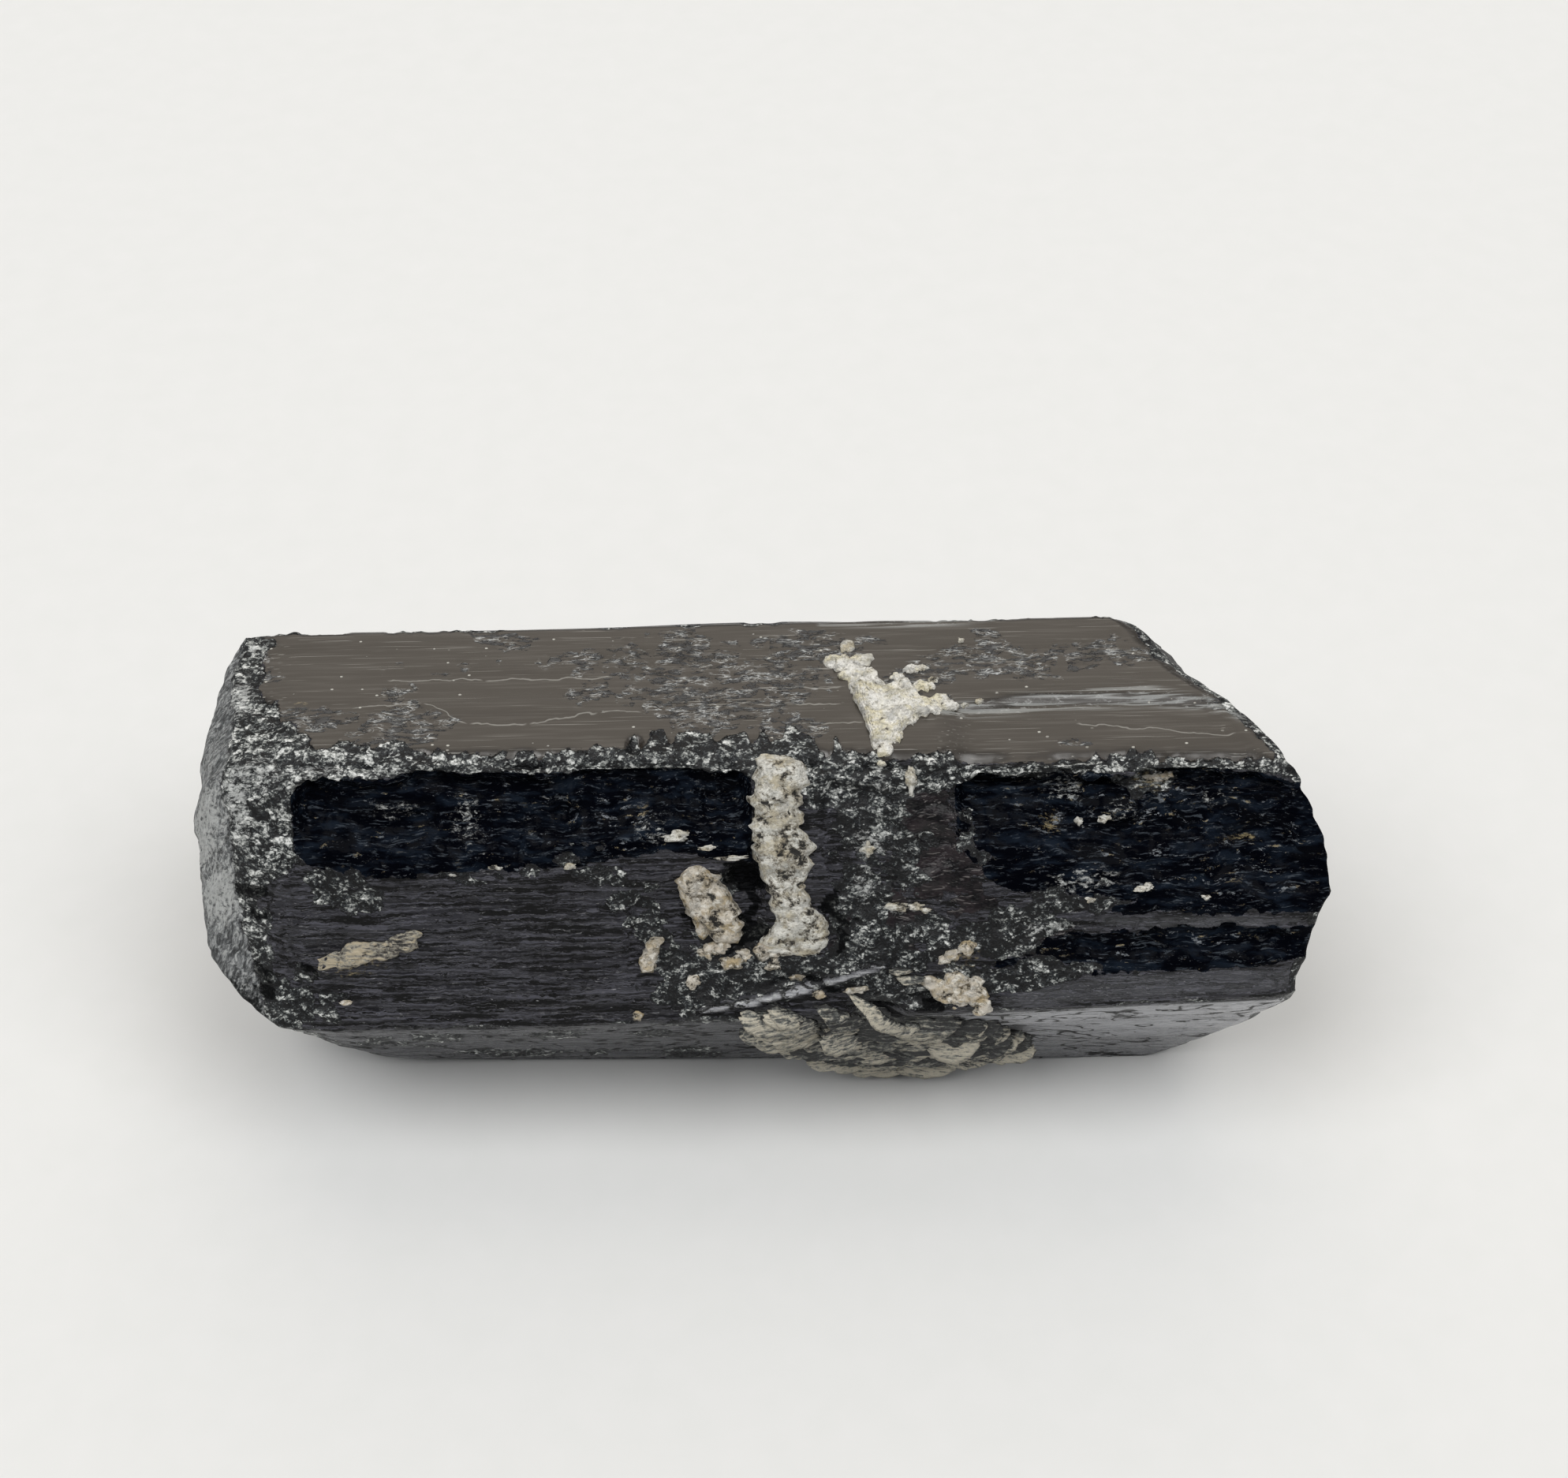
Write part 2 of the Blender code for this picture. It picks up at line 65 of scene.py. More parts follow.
# Rims of the two broken ends, as (girth, x).
LEFT_RIM = (
    (-12.7, -34.7), (-8.0, -35.0), (-1.0, -34.5), (4.0, -34.8), (9.0, -34.6), (15.0, -32.8), (24.0, -31.2),
    (34.1, -28.6), (47.6, -29.4), (58.0, -32.0), (65.7, -33.4), (76.0, -34.2))
RIGHT_RIM = (
    (-12.7, 25.2), (-8.0, 28.2), (-4.0, 32.0), (0.0, 34.4), (5.7, 36.1), (9.7, 37.0), (15.0, 35.5),
    (20.5, 35.0), (26.2, 33.2), (34.1, 29.0), (47.6, 24.0), (65.7, 22.0), (76.0, 23.6))
RIM_ROUNDING = 1.2
LEFT_MIDDLE = (-38.2, -2.5, 17.5)  # highest point of the left break
RIGHT_MIDDLE = (34.2, -2.5, 14.5)  # middle of the slanting right break
LEFT_DOME_POWER = 3.2  # how late a broken end bends over to its rim
RIGHT_DOME_POWER = 2.4
# Depth that the long faces are worn beside the left break, as (girth, depth).
LEFT_WEAR = (
    (-12.7, 0.2), (-2.0, 0.5), (5.0, 1.0), (13.0, 1.1), (18.0, 0.6), (34.1, 0.5), (47.6, 0.8), (65.7, 0.9),
    (76.0, 0.5))
LEFT_WEAR_WIDTH = 4.0
RIGHT_WEAR = 0.5
RIGHT_WEAR_WIDTH = 1.6

# ---- breaks, as (x, upper girth, lower girth) ----
LEFT_HOLLOW = (
    (-30.5, 1.6, 4.4), (-28.2, 0.9, 6.0), (-25.0, 0.8, 7.0), (-18.0, 0.5, 7.0), (-14.0, 0.8, 6.3),
    (-10.5, 0.4, 5.6), (-6.0, 0.2, 4.6), (-0.8, 0.9, 5.3))
RIGHT_HOLLOW = (
    (12.2, 1.8, 4.0), (14.0, 1.2, 5.6), (18.0, 1.0, 6.0), (22.0, 0.9, 8.2), (26.0, 0.6, 10.0),
    (32.0, 0.5, 11.0), (37.0, 2.5, 11.4))
LOWER_HOLLOW = ((19.5, 12.2, 13.4), (23.0, 12.0, 14.6), (30.0, 12.0, 14.9), (36.5, 12.4, 14.4))
ROUGH_BY_VEIN = ((3.6, 1.0, 8.0), (6.0, 0.8, 15.0), (9.0, 0.9, 15.2), (12.6, 1.4, 14.5))
ROUGH_BY_PATCH = (
    (-9.4, 10.0, 15.6), (-7.6, 8.4, 16.8), (-4.4, 5.8, 16.9), (-1.6, 6.2, 16.6), (0.2, 7.0, 15.4))
BACK_HOLLOW = (
    (-22.0, 67.5, 69.0), (-17.0, 66.6, 72.4), (-9.0, 66.4, 73.6), (-3.0, 66.8, 71.0), (2.5, 67.6, 69.2))
LOW_BACK_HOLLOW = ((4.0, 58.0, 60.0), (9.0, 55.6, 62.0), (16.0, 55.0, 63.2), (23.5, 56.5, 61.0))
# (stations, depth, seed, whether its floor is glassy)
HOLLOWS = (
    (LEFT_HOLLOW, 1.7, 21, True), (RIGHT_HOLLOW, 1.9, 31, True), (LOWER_HOLLOW, 0.7, 41, True),
    (ROUGH_BY_VEIN, 0.55, 51, False), (ROUGH_BY_PATCH, 0.5, 91, False), (BACK_HOLLOW, 1.1, 61, True),
    (LOW_BACK_HOLLOW, 0.9, 71, True))
WALL_SHARE = 0.1  # share of a hollow's width that its steep upper wall takes

CRUSHED_WIDTH = 0.9  # half width of the crushed upper front edge
CRUSHED_DEPTH = 0.55
STEP_ON_TOP = ((12.0, -4.3), (17.0, -4.9), (24.0, -5.2), (30.5, -4.5))  # foot of the growth step
STEP_START = 11.0
STEP_RUN_IN = 3.0
STEP_HEIGHT = 0.45
STEP_WIDTH = 0.9
TOP_SMOOTHNESS = 0.35  # share of the ribs and waves that the smooth top face keeps
LEFT_BREAK_RELIEF = 0.18
RIGHT_BREAK_RELIEF = 0.8
GRAIN_HEIGHT = 0.22  # roughness of broken surfaces

# Noises of the relief and of the outlines, as (height, size along, size round or up, seed).
WAVES = (0.12, 14.0, 5.0, 11)
RIBS = (0.17, 16.0, 1.3, 12)
GROOVES = ((0.05, 9.0, 0.55, 211), (0.035, 5.0, 0.3, 212))
LUMPS = ((0.12, 1.3, 1.1, 222), (0.12, 0.5, 0.45, 223))
STEP_LINES = ((1.0, 18.0, 0.16, 261), (0.6, 4.0, 0.12, 262))
LEFT_FIBRES = ((1.0, 0.38, 4.0, 301), (0.6, 0.2, 1.6, 302))
RIGHT_PATCHES = ((0.8, 3.4, 2.6, 272), (0.7, 1.1, 0.9, 274))
RAGGED = ((0.5, 1.1, 0.9, 201), (0.35, 0.45, 0.4, 202))

# ---- where each kind of surface is ----
# Where the crushed upper front edge stops on the top face, as (x, girth).
CRUSH_ON_TOP = (
    (-34.5, -5.0), (-31.0, -3.6), (-29.0, -1.3), (-24.0, -2.0), (-21.0, -1.3), (-15.0, -1.1),
    (-10.0, -1.5), (-6.0, -2.8), (-3.0, -1.8), (0.0, -2.9), (3.0, -2.6), (5.0, -1.3), (9.0, -0.8),
    (13.0, -0.8), (18.0, -0.6), (23.0, -1.1), (28.0, -0.8), (36.0, -0.7))
# Where it stops on the upper front face.
CRUSH_ON_FRONT = (
    (-35.0, 4.0), (-30.6, 3.2), (-29.6, 1.6), (-25.0, 1.3), (-14.0, 1.2), (-6.0, 1.0), (0.0, 1.5),
    (4.0, 2.4), (9.0, 2.4), (12.5, 1.8), (18.0, 1.4), (26.0, 1.0), (36.5, 1.0))
# Width of the granular band beside the left break, as (girth, width).
LEFT_BAND = (
    (-12.7, 1.4), (-8.0, 1.6), (-5.0, 2.6), (-2.0, 4.6), (1.5, 5.0), (5.5, 5.2), (6.8, 3.6), (8.0, 1.3),
    (14.0, 1.2), (16.0, 2.0), (19.0, 1.5), (34.1, 0.8), (65.7, 1.2), (76.0, 1.4))
RIGHT_BAND = 0.7
CHIPPED_WIDTH = 0.3  # half width of the chips on the other long edges
# The calm growth of the lower front face, which also places its painted reflection of the floor: where it
# starts and is full, as girths below the upper edge and above the lower one, as x to the right, and as
# girths between which it weakens.
CALM_TOP = (17.6, 18.4)
CALM_FOOT = (36.0, 34.0)
CALM_RIGHT = (8.0, 13.0)
CALM_FADE = (22.5, 29.0)
# Crushed spots on the front faces, as (x, girth, half length, half width, strength).
SPOTS = (
    (6.4, 3.6, 2.9, 3.2, 0.95), (8.6, 6.6, 2.6, 4.6, 0.72), (6.0, 9.6, 2.3, 3.4, 0.85),
    (7.0, 13.4, 4.0, 2.6, 0.85), (-8.2, 9.4, 1.6, 2.0, 0.7), (-2.0, 13.6, 3.4, 3.4, 0.9),
    (10.6, 11.8, 2.4, 1.8, 0.7), (17.4, 11.0, 3.2, 1.2, 0.85), (13.4, 5.6, 1.0, 2.6, 0.6),
    (-7.2, 12.8, 1.5, 3.0, 0.75), (-4.6, 14.6, 4.0, 2.6, 0.85), (-2.8, 9.6, 1.0, 3.4, 0.75),
    (2.0, 14.8, 5.0, 1.7, 0.9), (9.6, 16.2, 4.8, 1.9, 0.95), (14.6, 12.4, 4.0, 2.3, 0.85),
    (19.6, 9.6, 4.2, 1.3, 0.65), (17.6, 15.2, 6.0, 1.3, 0.85), (24.0, 15.2, 3.0, 0.6, 0.6),
    (-27.6, 8.0, 2.2, 1.9, 0.85), (-31.4, 15.4, 1.9, 2.3, 0.8), (-28.4, 15.6, 1.3, 1.1, 0.75),
    (-10.2, 7.4, 2.2, 0.9, 0.7), (-15.2, 7.2, 1.8, 0.6, 0.65), (-19.0, 7.6, 1.2, 0.6, 0.6),
    (-3.5, 18.2, 5.5, 1.4, 0.8), (-14.0, 21.0, 2.6, 2.4, 0.9), (-22.5, 21.6, 2.2, 2.6, 0.95),
    (-18.0, 29.5, 5.0, 2.6, 0.9), (-6.0, 30.5, 3.0, 2.4, 0.85), (-26.5, 23.5, 1.4, 2.6, 0.85),
    (-7.5, 22.5, 1.6, 2.0, 0.8), (-24.0, 26.0, 2.2, 1.2, 0.6), (-12.0, 29.5, 2.8, 1.4, 0.6),
    (24.8, 1.6, 2.6, 1.5, 0.85), (-12.6, 5.6, 1.6, 1.2, 0.6), (17.0, 1.0, 1.6, 0.8, 0.6))
# Scuffs on the top face, in the same form: torn hair-thin flakes with blue-black break under them.
SCUFFS = (
    (-29.4, -4.4, 2.8, 1.3, 0.75), (-23.2, -3.5, 3.6, 2.2, 0.9), (-24.3, -6.6, 1.4, 1.3, 0.85),
    (-17.5, -11.4, 2.2, 0.9, 0.8), (-13.8, -9.4, 1.6, 0.9, 0.8), (-12.0, -6.1, 2.6, 0.9, 0.75),
    (-11.0, -9.4, 2.6, 1.3, 0.85), (-4.5, -10.0, 3.0, 1.8, 0.85), (-4.0, -5.4, 3.6, 3.0, 0.9),
    (0.8, -7.6, 2.6, 1.8, 0.75), (1.7, -3.2, 2.4, 1.4, 0.85), (3.3, -10.3, 3.0, 1.3, 1.0),
    (15.6, -8.8, 5.6, 1.9, 0.85), (15.0, -10.4, 2.0, 0.8, 0.8), (10.6, -7.0, 1.9, 2.2, 0.8),
    (7.6, -10.6, 1.6, 0.9, 0.7), (-33.6, -10.0, 1.3, 2.4, 0.8), (30.6, -5.0, 2.4, 1.0, 0.8),
    (-3.0, -8.0, 12.0, 4.6, 0.6), (22.0, -9.4, 6.0, 1.6, 0.6), (-20.0, -9.0, 8.0, 3.0, 0.35),
    (20.6, -2.2, 1.0, 0.5, 0.8), (-32.0, -2.6, 2.0, 2.0, 0.7))
# Glassy break beyond the hollows themselves, as (x, upper girth, lower girth).
LEFT_GLASS = (
    (-30.6, 2.0, 5.6), (-28.0, 1.0, 7.2), (-24.0, 0.8, 7.3), (-18.0, 0.6, 6.9), (-13.0, 0.8, 6.8),
    (-6.0, 0.4, 5.8), (-0.8, 0.8, 6.6))
RIGHT_GLASS = (
    (12.4, 1.6, 5.4), (15.0, 1.2, 8.4), (19.0, 1.1, 9.4), (23.0, 1.0, 10.8), (30.0, 0.6, 10.9),
    (37.0, 2.0, 11.2))
LOWER_GLASS = (
    (15.0, 13.0, 14.4), (20.0, 12.3, 15.0), (30.0, 12.1, 15.1), (36.6, 12.2, 14.6))
GLASS_BANDS = (LEFT_GLASS, RIGHT_GLASS, LOWER_GLASS)
# Dusky brown-purple break, rough but without loose grains, in the form of the spots.
DUSKY = (
    (10.4, 5.2, 2.6, 4.2, 1.0), (7.6, 11.6, 3.6, 3.6, 0.9), (13.2, 8.2, 2.6, 3.2, 0.8),
    (17.5, 12.6, 3.6, 1.8, 0.6))
# Tiny tan, white and grey flecks in the right breaks.
FLECKED = (
    (20.0, 3.6, 3.6, 2.6, 0.7), (27.0, 3.6, 6.0, 2.6, 0.9), (31.5, 6.6, 5.0, 3.6, 0.8),
    (24.0, 7.6, 4.0, 2.0, 0.6), (28.0, 13.4, 8.0, 1.2, 0.55), (-9.0, 3.4, 8.0, 3.2, 0.9),
    (-3.0, 4.4, 2.0, 1.4, 0.7))
# Thin tan stain in the breaks.
STAINS = (
    (-30.3, -5.6, 0.7, 0.4, 0.4), (25.2, 1.8, 1.3, 0.8, 0.5), (18.6, 4.6, 0.8, 0.7, 0.6),
    (12.8, 13.8, 1.4, 0.9, 0.5), (31.0, 5.9, 1.4, 0.3, 0.5), (-27.4, 13.0, 2.4, 1.0, 0.4))
# Pale, powdery or light-catching surfaces.
PALE = (
    (-32.4, 0.4, 1.8, 1.5, 0.6), (-34.4, -6.6, 0.8, 2.0, 0.8), (-34.2, -11.4, 0.3, 0.5, 0.9),
    (-34.2, 2.0, 0.9, 3.4, 0.75), (-28.6, 0.4, 2.4, 0.6, 0.5), (-24.4, 0.5, 2.2, 0.4, 0.35),
    (20.8, 8.3, 2.4, 0.9, 0.45), (6.9, 5.6, 1.2, 1.0, 0.7), (6.4, 8.4, 0.8, 1.6, 0.6),
    (9.0, 10.1, 1.4, 0.4, 0.85), (18.6, 11.8, 3.0, 0.6, 0.35), (7.4, 1.6, 0.6, 0.8, 0.45),
    (-24.2, 3.2, 1.8, 0.7, 0.4), (-19.4, 3.8, 1.0, 1.8, 0.4), (19.6, 2.4, 1.4, 1.0, 0.45),
    (23.4, 3.8, 1.4, 0.8, 0.35), (29.4, 3.0, 1.2, 0.7, 0.3), (-7.4, 4.4, 1.0, 1.0, 0.4))
# Painted shade: crevices, and the lower part of the left break, darkened where shade falls.
SHADE_SPOTS = (
    (-0.6, 9.6, 0.9, 3.2, 1.0), (4.3, 9.8, 0.7, 2.0, 0.9), (-1.6, 12.0, 1.0, 1.0, 0.8),
    (-1.6, 7.8, 1.4, 1.4, 1.0), (4.8, 12.6, 0.7, 1.4, 0.8), (7.4, 18.0, 1.8, 1.0, 0.9),
    (3.6, 15.6, 1.4, 0.5, 0.8), (-4.2, 10.8, 0.7, 1.4, 0.7), (-30.6, 13.4, 2.0, 1.0, 0.5),
    (-34.4, 14.5, 2.0, 3.0, 0.75), (10.4, 17.4, 1.8, 0.6, 0.9), (-34.0, 9.6, 1.6, 2.4, 0.5))
# Spots where crushed grains are darker, as painted shade: along the front of the top edge, on two scuffs,
# and on the lower left break.
SHADED_CRUSH_SPOTS = (
    (-3.0, -1.0, 9.0, 2.6, 0.6), (-13.0, -0.6, 6.0, 1.6, 0.3), (8.0, 0.6, 5.0, 1.8, 0.5),
    (-4.2, -5.4, 3.6, 3.0, 0.8), (3.3, -10.3, 3.0, 1.3, 0.8), (-31.8, 14.5, 2.8, 5.0, 1.0))
# Pale smooth patches on the left break, as (z, y, half height, half width, strength).
LEFT_END_PALE = (
    (23.5, -5.2, 4.4, 1.8, 1.3), (20.4, -8.2, 3.0, 1.5, 1.3), (26.6, -1.6, 2.0, 2.2, 0.5),
    (14.5, -11.8, 2.6, 0.6, 0.4), (20.0, 6.0, 4.5, 2.2, 0.5), (8.0, 3.0, 3.5, 2.5, 0.45))
# Band of lengthwise steps on the top face, as (x, back girth, front girth).
STEP_BAND = (
    (11.5, -4.9, -4.1), (14.0, -5.4, -4.2), (19.5, -6.0, -4.7), (25.3, -6.5, -5.0), (29.6, -5.4, -4.5),
    (33.0, -3.6, -3.0))
BACK_EDGE_BAND = ((4.0, -12.9, -12.3), (10.0, -12.9, -11.9), (16.0, -12.9, -12.3))
# Smooth growth strips left standing between the breaks, grey from a little painted reflection of the floor.
UPPER_STRIP = ((22.0, 11.0, 11.6), (25.0, 11.1, 12.1), (31.0, 11.2, 12.1), (35.0, 11.4, 11.8))
LOWER_STRIP = ((15.5, 16.6, 17.3), (20.0, 15.6, 17.2), (28.0, 15.2, 17.0), (34.6, 15.3, 16.9))
SMOOTH_STRIPS = (UPPER_STRIP, LOWER_STRIP)
# Long scratches on the top face, as ((x, girth) of one end, of the other, width).
SCRATCHES = (
    ((-24.9, -7.9), (-18.4, -7.8), 0.07), ((-18.4, -7.8), (-9.9, -7.8), 0.09),
    ((-27.0, -5.2), (-22.3, -5.7), 0.07), ((-22.3, -5.7), (-19.2, -3.7), 0.06),
    ((-19.2, -3.7), (-15.3, -3.7), 0.08), ((-15.3, -3.7), (-10.7, -4.6), 0.07),
    ((-10.7, -4.6), (-7.8, -4.7), 0.06), ((-1.9, -5.3), (5.3, -5.1), 0.08),
    ((-1.5, -6.6), (5.4, -6.6), 0.09), ((2.6, -8.2), (5.8, -8.2), 0.1), ((2.0, -3.6), (6.8, -3.5), 0.07),
    ((20.5, -3.6), (31.0, -2.6), 0.06))
# Thin blade of tourmaline that stands out below the feldspar, as (x, upper girth, lower girth).
BLADE = ((-4.6, 16.7, 17.1), (-1.0, 16.1, 16.8), (2.4, 15.3, 16.0), (5.7, 14.4, 14.9), (7.9, 13.9, 14.3))
BLADE_HEIGHT = 0.4
# Black slots and crevices, as (x, girth, half length, half width, depth).
SLOTS = (
    (-1.5, 8.0, 1.5, 0.9, 1.1), (-0.6, 6.0, 0.5, 1.2, 0.7), (7.2, 17.8, 1.8, 1.2, 0.9),
    (10.2, 16.6, 1.5, 0.5, 0.8), (-8.3, -1.6, 0.5, 0.7, 0.6), (2.0, 15.2, 1.8, 0.5, 0.5),
    (-3.6, 3.0, 0.5, 1.5, 0.2), (-5.4, 2.2, 0.35, 1.6, 0.15), (-13.2, 2.8, 0.5, 2.2, 0.25))

# ---- minerals grown into the tourmaline ----
RIM_BOTTOM = -1.2  # where a mineral's underside ends, at its rim
RAGGED_EDGE = 0.07
FINE_RAGGED_EDGE = 0.13
LOWEST_MINERAL = 0.15
VEIN = (
    (-0.9, 0.0, 1.0), (0.1, -0.7, 2.6), (1.0, -0.8, 3.0), (2.6, -1.0, 2.7), (4.3, -1.0, 2.5),
    (5.8, -0.9, 3.4), (7.0, -0.8, 3.3), (8.5, 0.0, 2.7), (10.0, 0.1, 3.4), (11.0, 0.5, 4.2),
    (12.3, -0.6, 4.4), (13.3, -0.6, 4.2), (14.0, 0.4, 2.0))
PATCH = (
    (6.8, -5.1, -4.4), (7.8, -5.8, -3.1), (9.2, -5.8, -2.3), (10.2, -5.2, -1.8), (11.2, -3.9, -1.5),
    (12.4, -3.2, -1.9))
CHIP = ((11.8, -7.7, -6.8), (12.8, -8.1, -6.9), (14.2, -8.5, -7.6))
CRUST = (
    (5.6, -8.0, -7.2), (6.3, -8.3, -5.0), (7.2, -8.0, -1.3), (8.3, -6.8, -1.7), (9.5, -7.2, -3.2),
    (10.5, -5.6, -3.9), (11.9, -5.0, -4.2))
# Places where the vein and the patch are rotten and dark, as (x, z, half length, half height, strength).
ROTTEN = (
    (1.6, 24.6, 1.0, 2.2, 1.0), (0.4, 22.4, 0.7, 1.4, 0.7), (2.9, 21.2, 0.6, 1.3, 0.9),
    (0.9, 19.7, 1.2, 0.45, 0.8), (-3.6, 20.6, 0.7, 1.6, 0.7), (0.0, 27.6, 0.6, 1.4, 0.6))
FLAKE = ((10.1, 14.9, 15.6), (11.3, 15.1, 16.8), (12.5, 15.5, 17.6), (13.7, 16.4, 17.2))
CLUSTER = (
    (-0.9, 17.4, 19.4), (0.5, 17.0, 22.3), (2.0, 17.6, 27.0), (4.0, 18.4, 31.0), (6.0, 18.2, 33.0),
    (8.5, 18.8, 33.4), (10.5, 18.4, 33.0), (12.5, 18.9, 32.0), (14.5, 21.5, 30.3), (17.2, 25.5, 28.3))
STREAK = (
    (-29.6, 12.6, 13.2), (-28.5, 12.2, 13.3), (-27.2, 11.4, 13.2), (-25.5, 11.6, 12.8),
    (-24.0, 10.8, 12.4), (-22.5, 10.6, 11.8))

# Sheets of the mica cluster that stand out by themselves, as
# (x, girth, turn in degrees, length, width, height, tone from dark 0 to pale 1).
BIG_SHEETS = (
    (7.3, 17.3, 38.0, 4.8, 0.8, 1.0, 0.95), (8.9, 18.9, 30.0, 2.8, 0.7, 0.9, 0.75),
    (0.4, 17.8, 6.0, 2.8, 1.3, 0.5, 0.9), (0.7, 18.8, 10.0, 3.0, 1.2, 0.6, 0.85),
    (0.9, 19.8, 13.0, 2.9, 1.2, 0.9, 1.0), (1.1, 20.8, 14.0, 2.7, 1.1, 1.1, 0.9),
    (1.4, 21.8, 14.0, 2.7, 1.0, 1.2, 1.0), (12.6, 22.6, -12.0, 3.4, 2.2, 1.3, 1.0),
    (12.0, 24.0, -8.0, 2.6, 1.4, 1.3, 0.9), (9.4, 15.0, 6.0, 1.9, 0.5, 0.4, 0.6),
    (8.8, 14.4, 0.0, 1.5, 0.4, 0.4, 0.55), (4.3, 17.2, 20.0, 2.4, 0.6, 0.5, 0.45),
    (5.0, 20.5, 35.0, 3.4, 1.4, 1.3, 0.75), (15.4, 24.8, -26.0, 3.6, 1.3, 1.0, 0.8),
    (16.3, 26.2, -20.0, 3.4, 1.0, 0.9, 0.85), (4.8, 28.6, 24.0, 4.0, 1.1, 1.4, 1.05),
    (7.8, 31.0, 12.0, 4.2, 1.1, 1.4, 1.0), (11.4, 30.6, -14.0, 4.2, 1.1, 1.4, 1.0),
    (14.0, 28.4, -30.0, 3.6, 1.1, 1.3, 0.95))
LOWER_FRONT_TOP = 13.7  # height of the edge between the two front faces
LOWER_FRONT_STRETCH = 1.21  # girth per height on the lower front face
SMALL_SHEETS = 220
# Turn of the small sheets about the cluster's middle, as (x, degrees).
SHEET_TURNS = ((CLUSTER[0][0], 24.0), (4.0, 26.0), (9.0, 2.0), (CLUSTER[-1][0], -32.0))
SHEET_THICKNESS = 0.14
SHEET_RISE = 0.95  # slope at which a sheet's lower side stands out
# Gaps between the sheets, where the bed is painted darker as shade, as (x, girth, half length, half width,
# strength).
SHEET_GAPS = (
    (7.0, 19.0, 1.5, 1.5, 1.0), (10.9, 18.4, 1.4, 0.9, 1.0), (3.4, 19.4, 0.9, 0.7, 0.8),
    (4.6, 27.5, 2.4, 0.7, 0.9), (8.6, 21.6, 1.2, 0.6, 0.8), (13.2, 20.0, 1.4, 0.6, 0.8))
# Loose-looking feldspar grains set in the tourmaline, as (x, girth, half length, half width, height).
CREAM_GRAINS = (
    (9.5, 1.2, 0.36, 1.1, 0.3), (5.9, -10.2, 0.5, 0.5, 0.25), (5.6, -9.3, 0.3, 0.3, 0.2),
    (10.8, -8.2, 0.45, 0.25, 0.25), (11.5, -7.1, 0.3, 0.25, 0.2), (9.8, -8.0, 0.25, 0.2, 0.2),
    (-5.7, 4.8, 1.0, 0.34, 0.35), (-2.1, 6.35, 0.95, 0.18, 0.3), (-3.9, 5.6, 0.5, 0.2, 0.25),
    (8.7, 10.1, 0.8, 0.35, 0.3), (9.8, 10.0, 0.6, 0.3, 0.3), (10.4, 10.3, 0.4, 0.22, 0.25),
    (14.4, -5.3, 0.3, 0.16, 0.2), (6.7, 6.0, 0.5, 0.5, 0.25), (25.0, 8.9, 0.4, 0.25, 0.3),
    (21.2, 9.7, 0.34, 0.2, 0.2), (22.2, 4.3, 0.36, 0.3, 0.2), (20.6, 4.6, 0.3, 0.25, 0.2),
    (-12.6, 6.7, 0.4, 0.22, 0.16), (-17.6, 6.7, 0.4, 0.16, 0.14), (-20.4, 7.2, 0.25, 0.12, 0.12),
    (28.8, 9.8, 0.3, 0.16, 0.2), (24.4, 9.0, 0.4, 0.2, 0.22), (13.6, -10.6, 0.2, 0.2, 0.15))
WHITE_GRAINS = (
    (5.3, -8.6, 0.9, 0.8, 0.5), (6.2, -7.8, 0.9, 0.6, 0.45), (6.8, -8.9, 0.7, 0.5, 0.4),
    (7.3, -7.6, 0.5, 0.6, 0.4), (10.6, -6.6, 0.5, 0.5, 0.35), (10.1, -8.1, 0.4, 0.3, 0.3),
    (11.2, -6.6, 0.35, 0.3, 0.3), (12.4, -4.9, 0.5, 0.3, 0.3), (11.6, -5.4, 0.6, 0.4, 0.35),
    (7.9, -1.3, 0.5, 0.6, 0.35), (7.6, -0.5, 0.3, 0.3, 0.25), (8.7, -2.3, 0.5, 0.6, 0.4),
    (7.4, -2.4, 0.4, 0.7, 0.4), (9.7, -3.6, 0.5, 0.5, 0.4), (4.6, -9.2, 0.25, 0.2, 0.2),
    (9.0, -7.4, 0.5, 0.3, 0.35), (6.2, -6.2, 0.3, 0.4, 0.35), (13.3, -5.0, 0.25, 0.15, 0.2))
TAN_GRAINS = (
    (13.6, 16.0, 1.0, 0.9, 0.45), (12.6, 15.4, 0.9, 0.6, 0.4), (14.2, 17.2, 0.6, 0.5, 0.35),
    (-4.9, 9.0, 0.6, 1.1, 0.35), (-4.2, 11.0, 0.6, 0.8, 0.35), (0.0, 12.9, 0.9, 0.7, 0.45),
    (0.5, 13.8, 0.6, 0.4, 0.35), (-4.0, 13.0, 0.7, 0.7, 0.4), (-3.0, 12.6, 0.6, 0.5, 0.4),
    (-2.4, 13.6, 0.7, 0.5, 0.4), (-1.4, 13.2, 0.6, 0.5, 0.35), (-5.0, 15.0, 0.45, 0.4, 0.3),
    (1.9, 15.0, 0.6, 0.3, 0.3), (12.3, 13.4, 0.7, 0.5, 0.35), (13.2, 13.0, 0.55, 0.5, 0.3),
    (11.8, 13.9, 0.45, 0.35, 0.3), (6.0, 15.8, 0.8, 0.35, 0.35), (25.6, 1.9, 0.7, 0.4, 0.3),
    (26.4, 1.6, 0.4, 0.3, 0.25), (-27.9, 15.5, 0.5, 0.16, 0.14), (-8.6, 17.2, 0.4, 0.3, 0.25),
    (3.4, 16.1, 0.5, 0.3, 0.3))
GRAIN_DEEP = 0.35  # how far a grain reaches into the tourmaline

# ---- mesh density ----
LENGTH_SEGMENTS = 350  # 0.2 mm apart
END_SEGMENTS = 60
# Stretches of girth as (end, segments), from the upper back edge round.
GIRTH_SEGMENTS = (
    (0.0, 44), (2.5, 14), (8.0, 20), (17.5, 34), (34.1, 42), (47.6, 12), (65.7, 34), (82.2, 40))


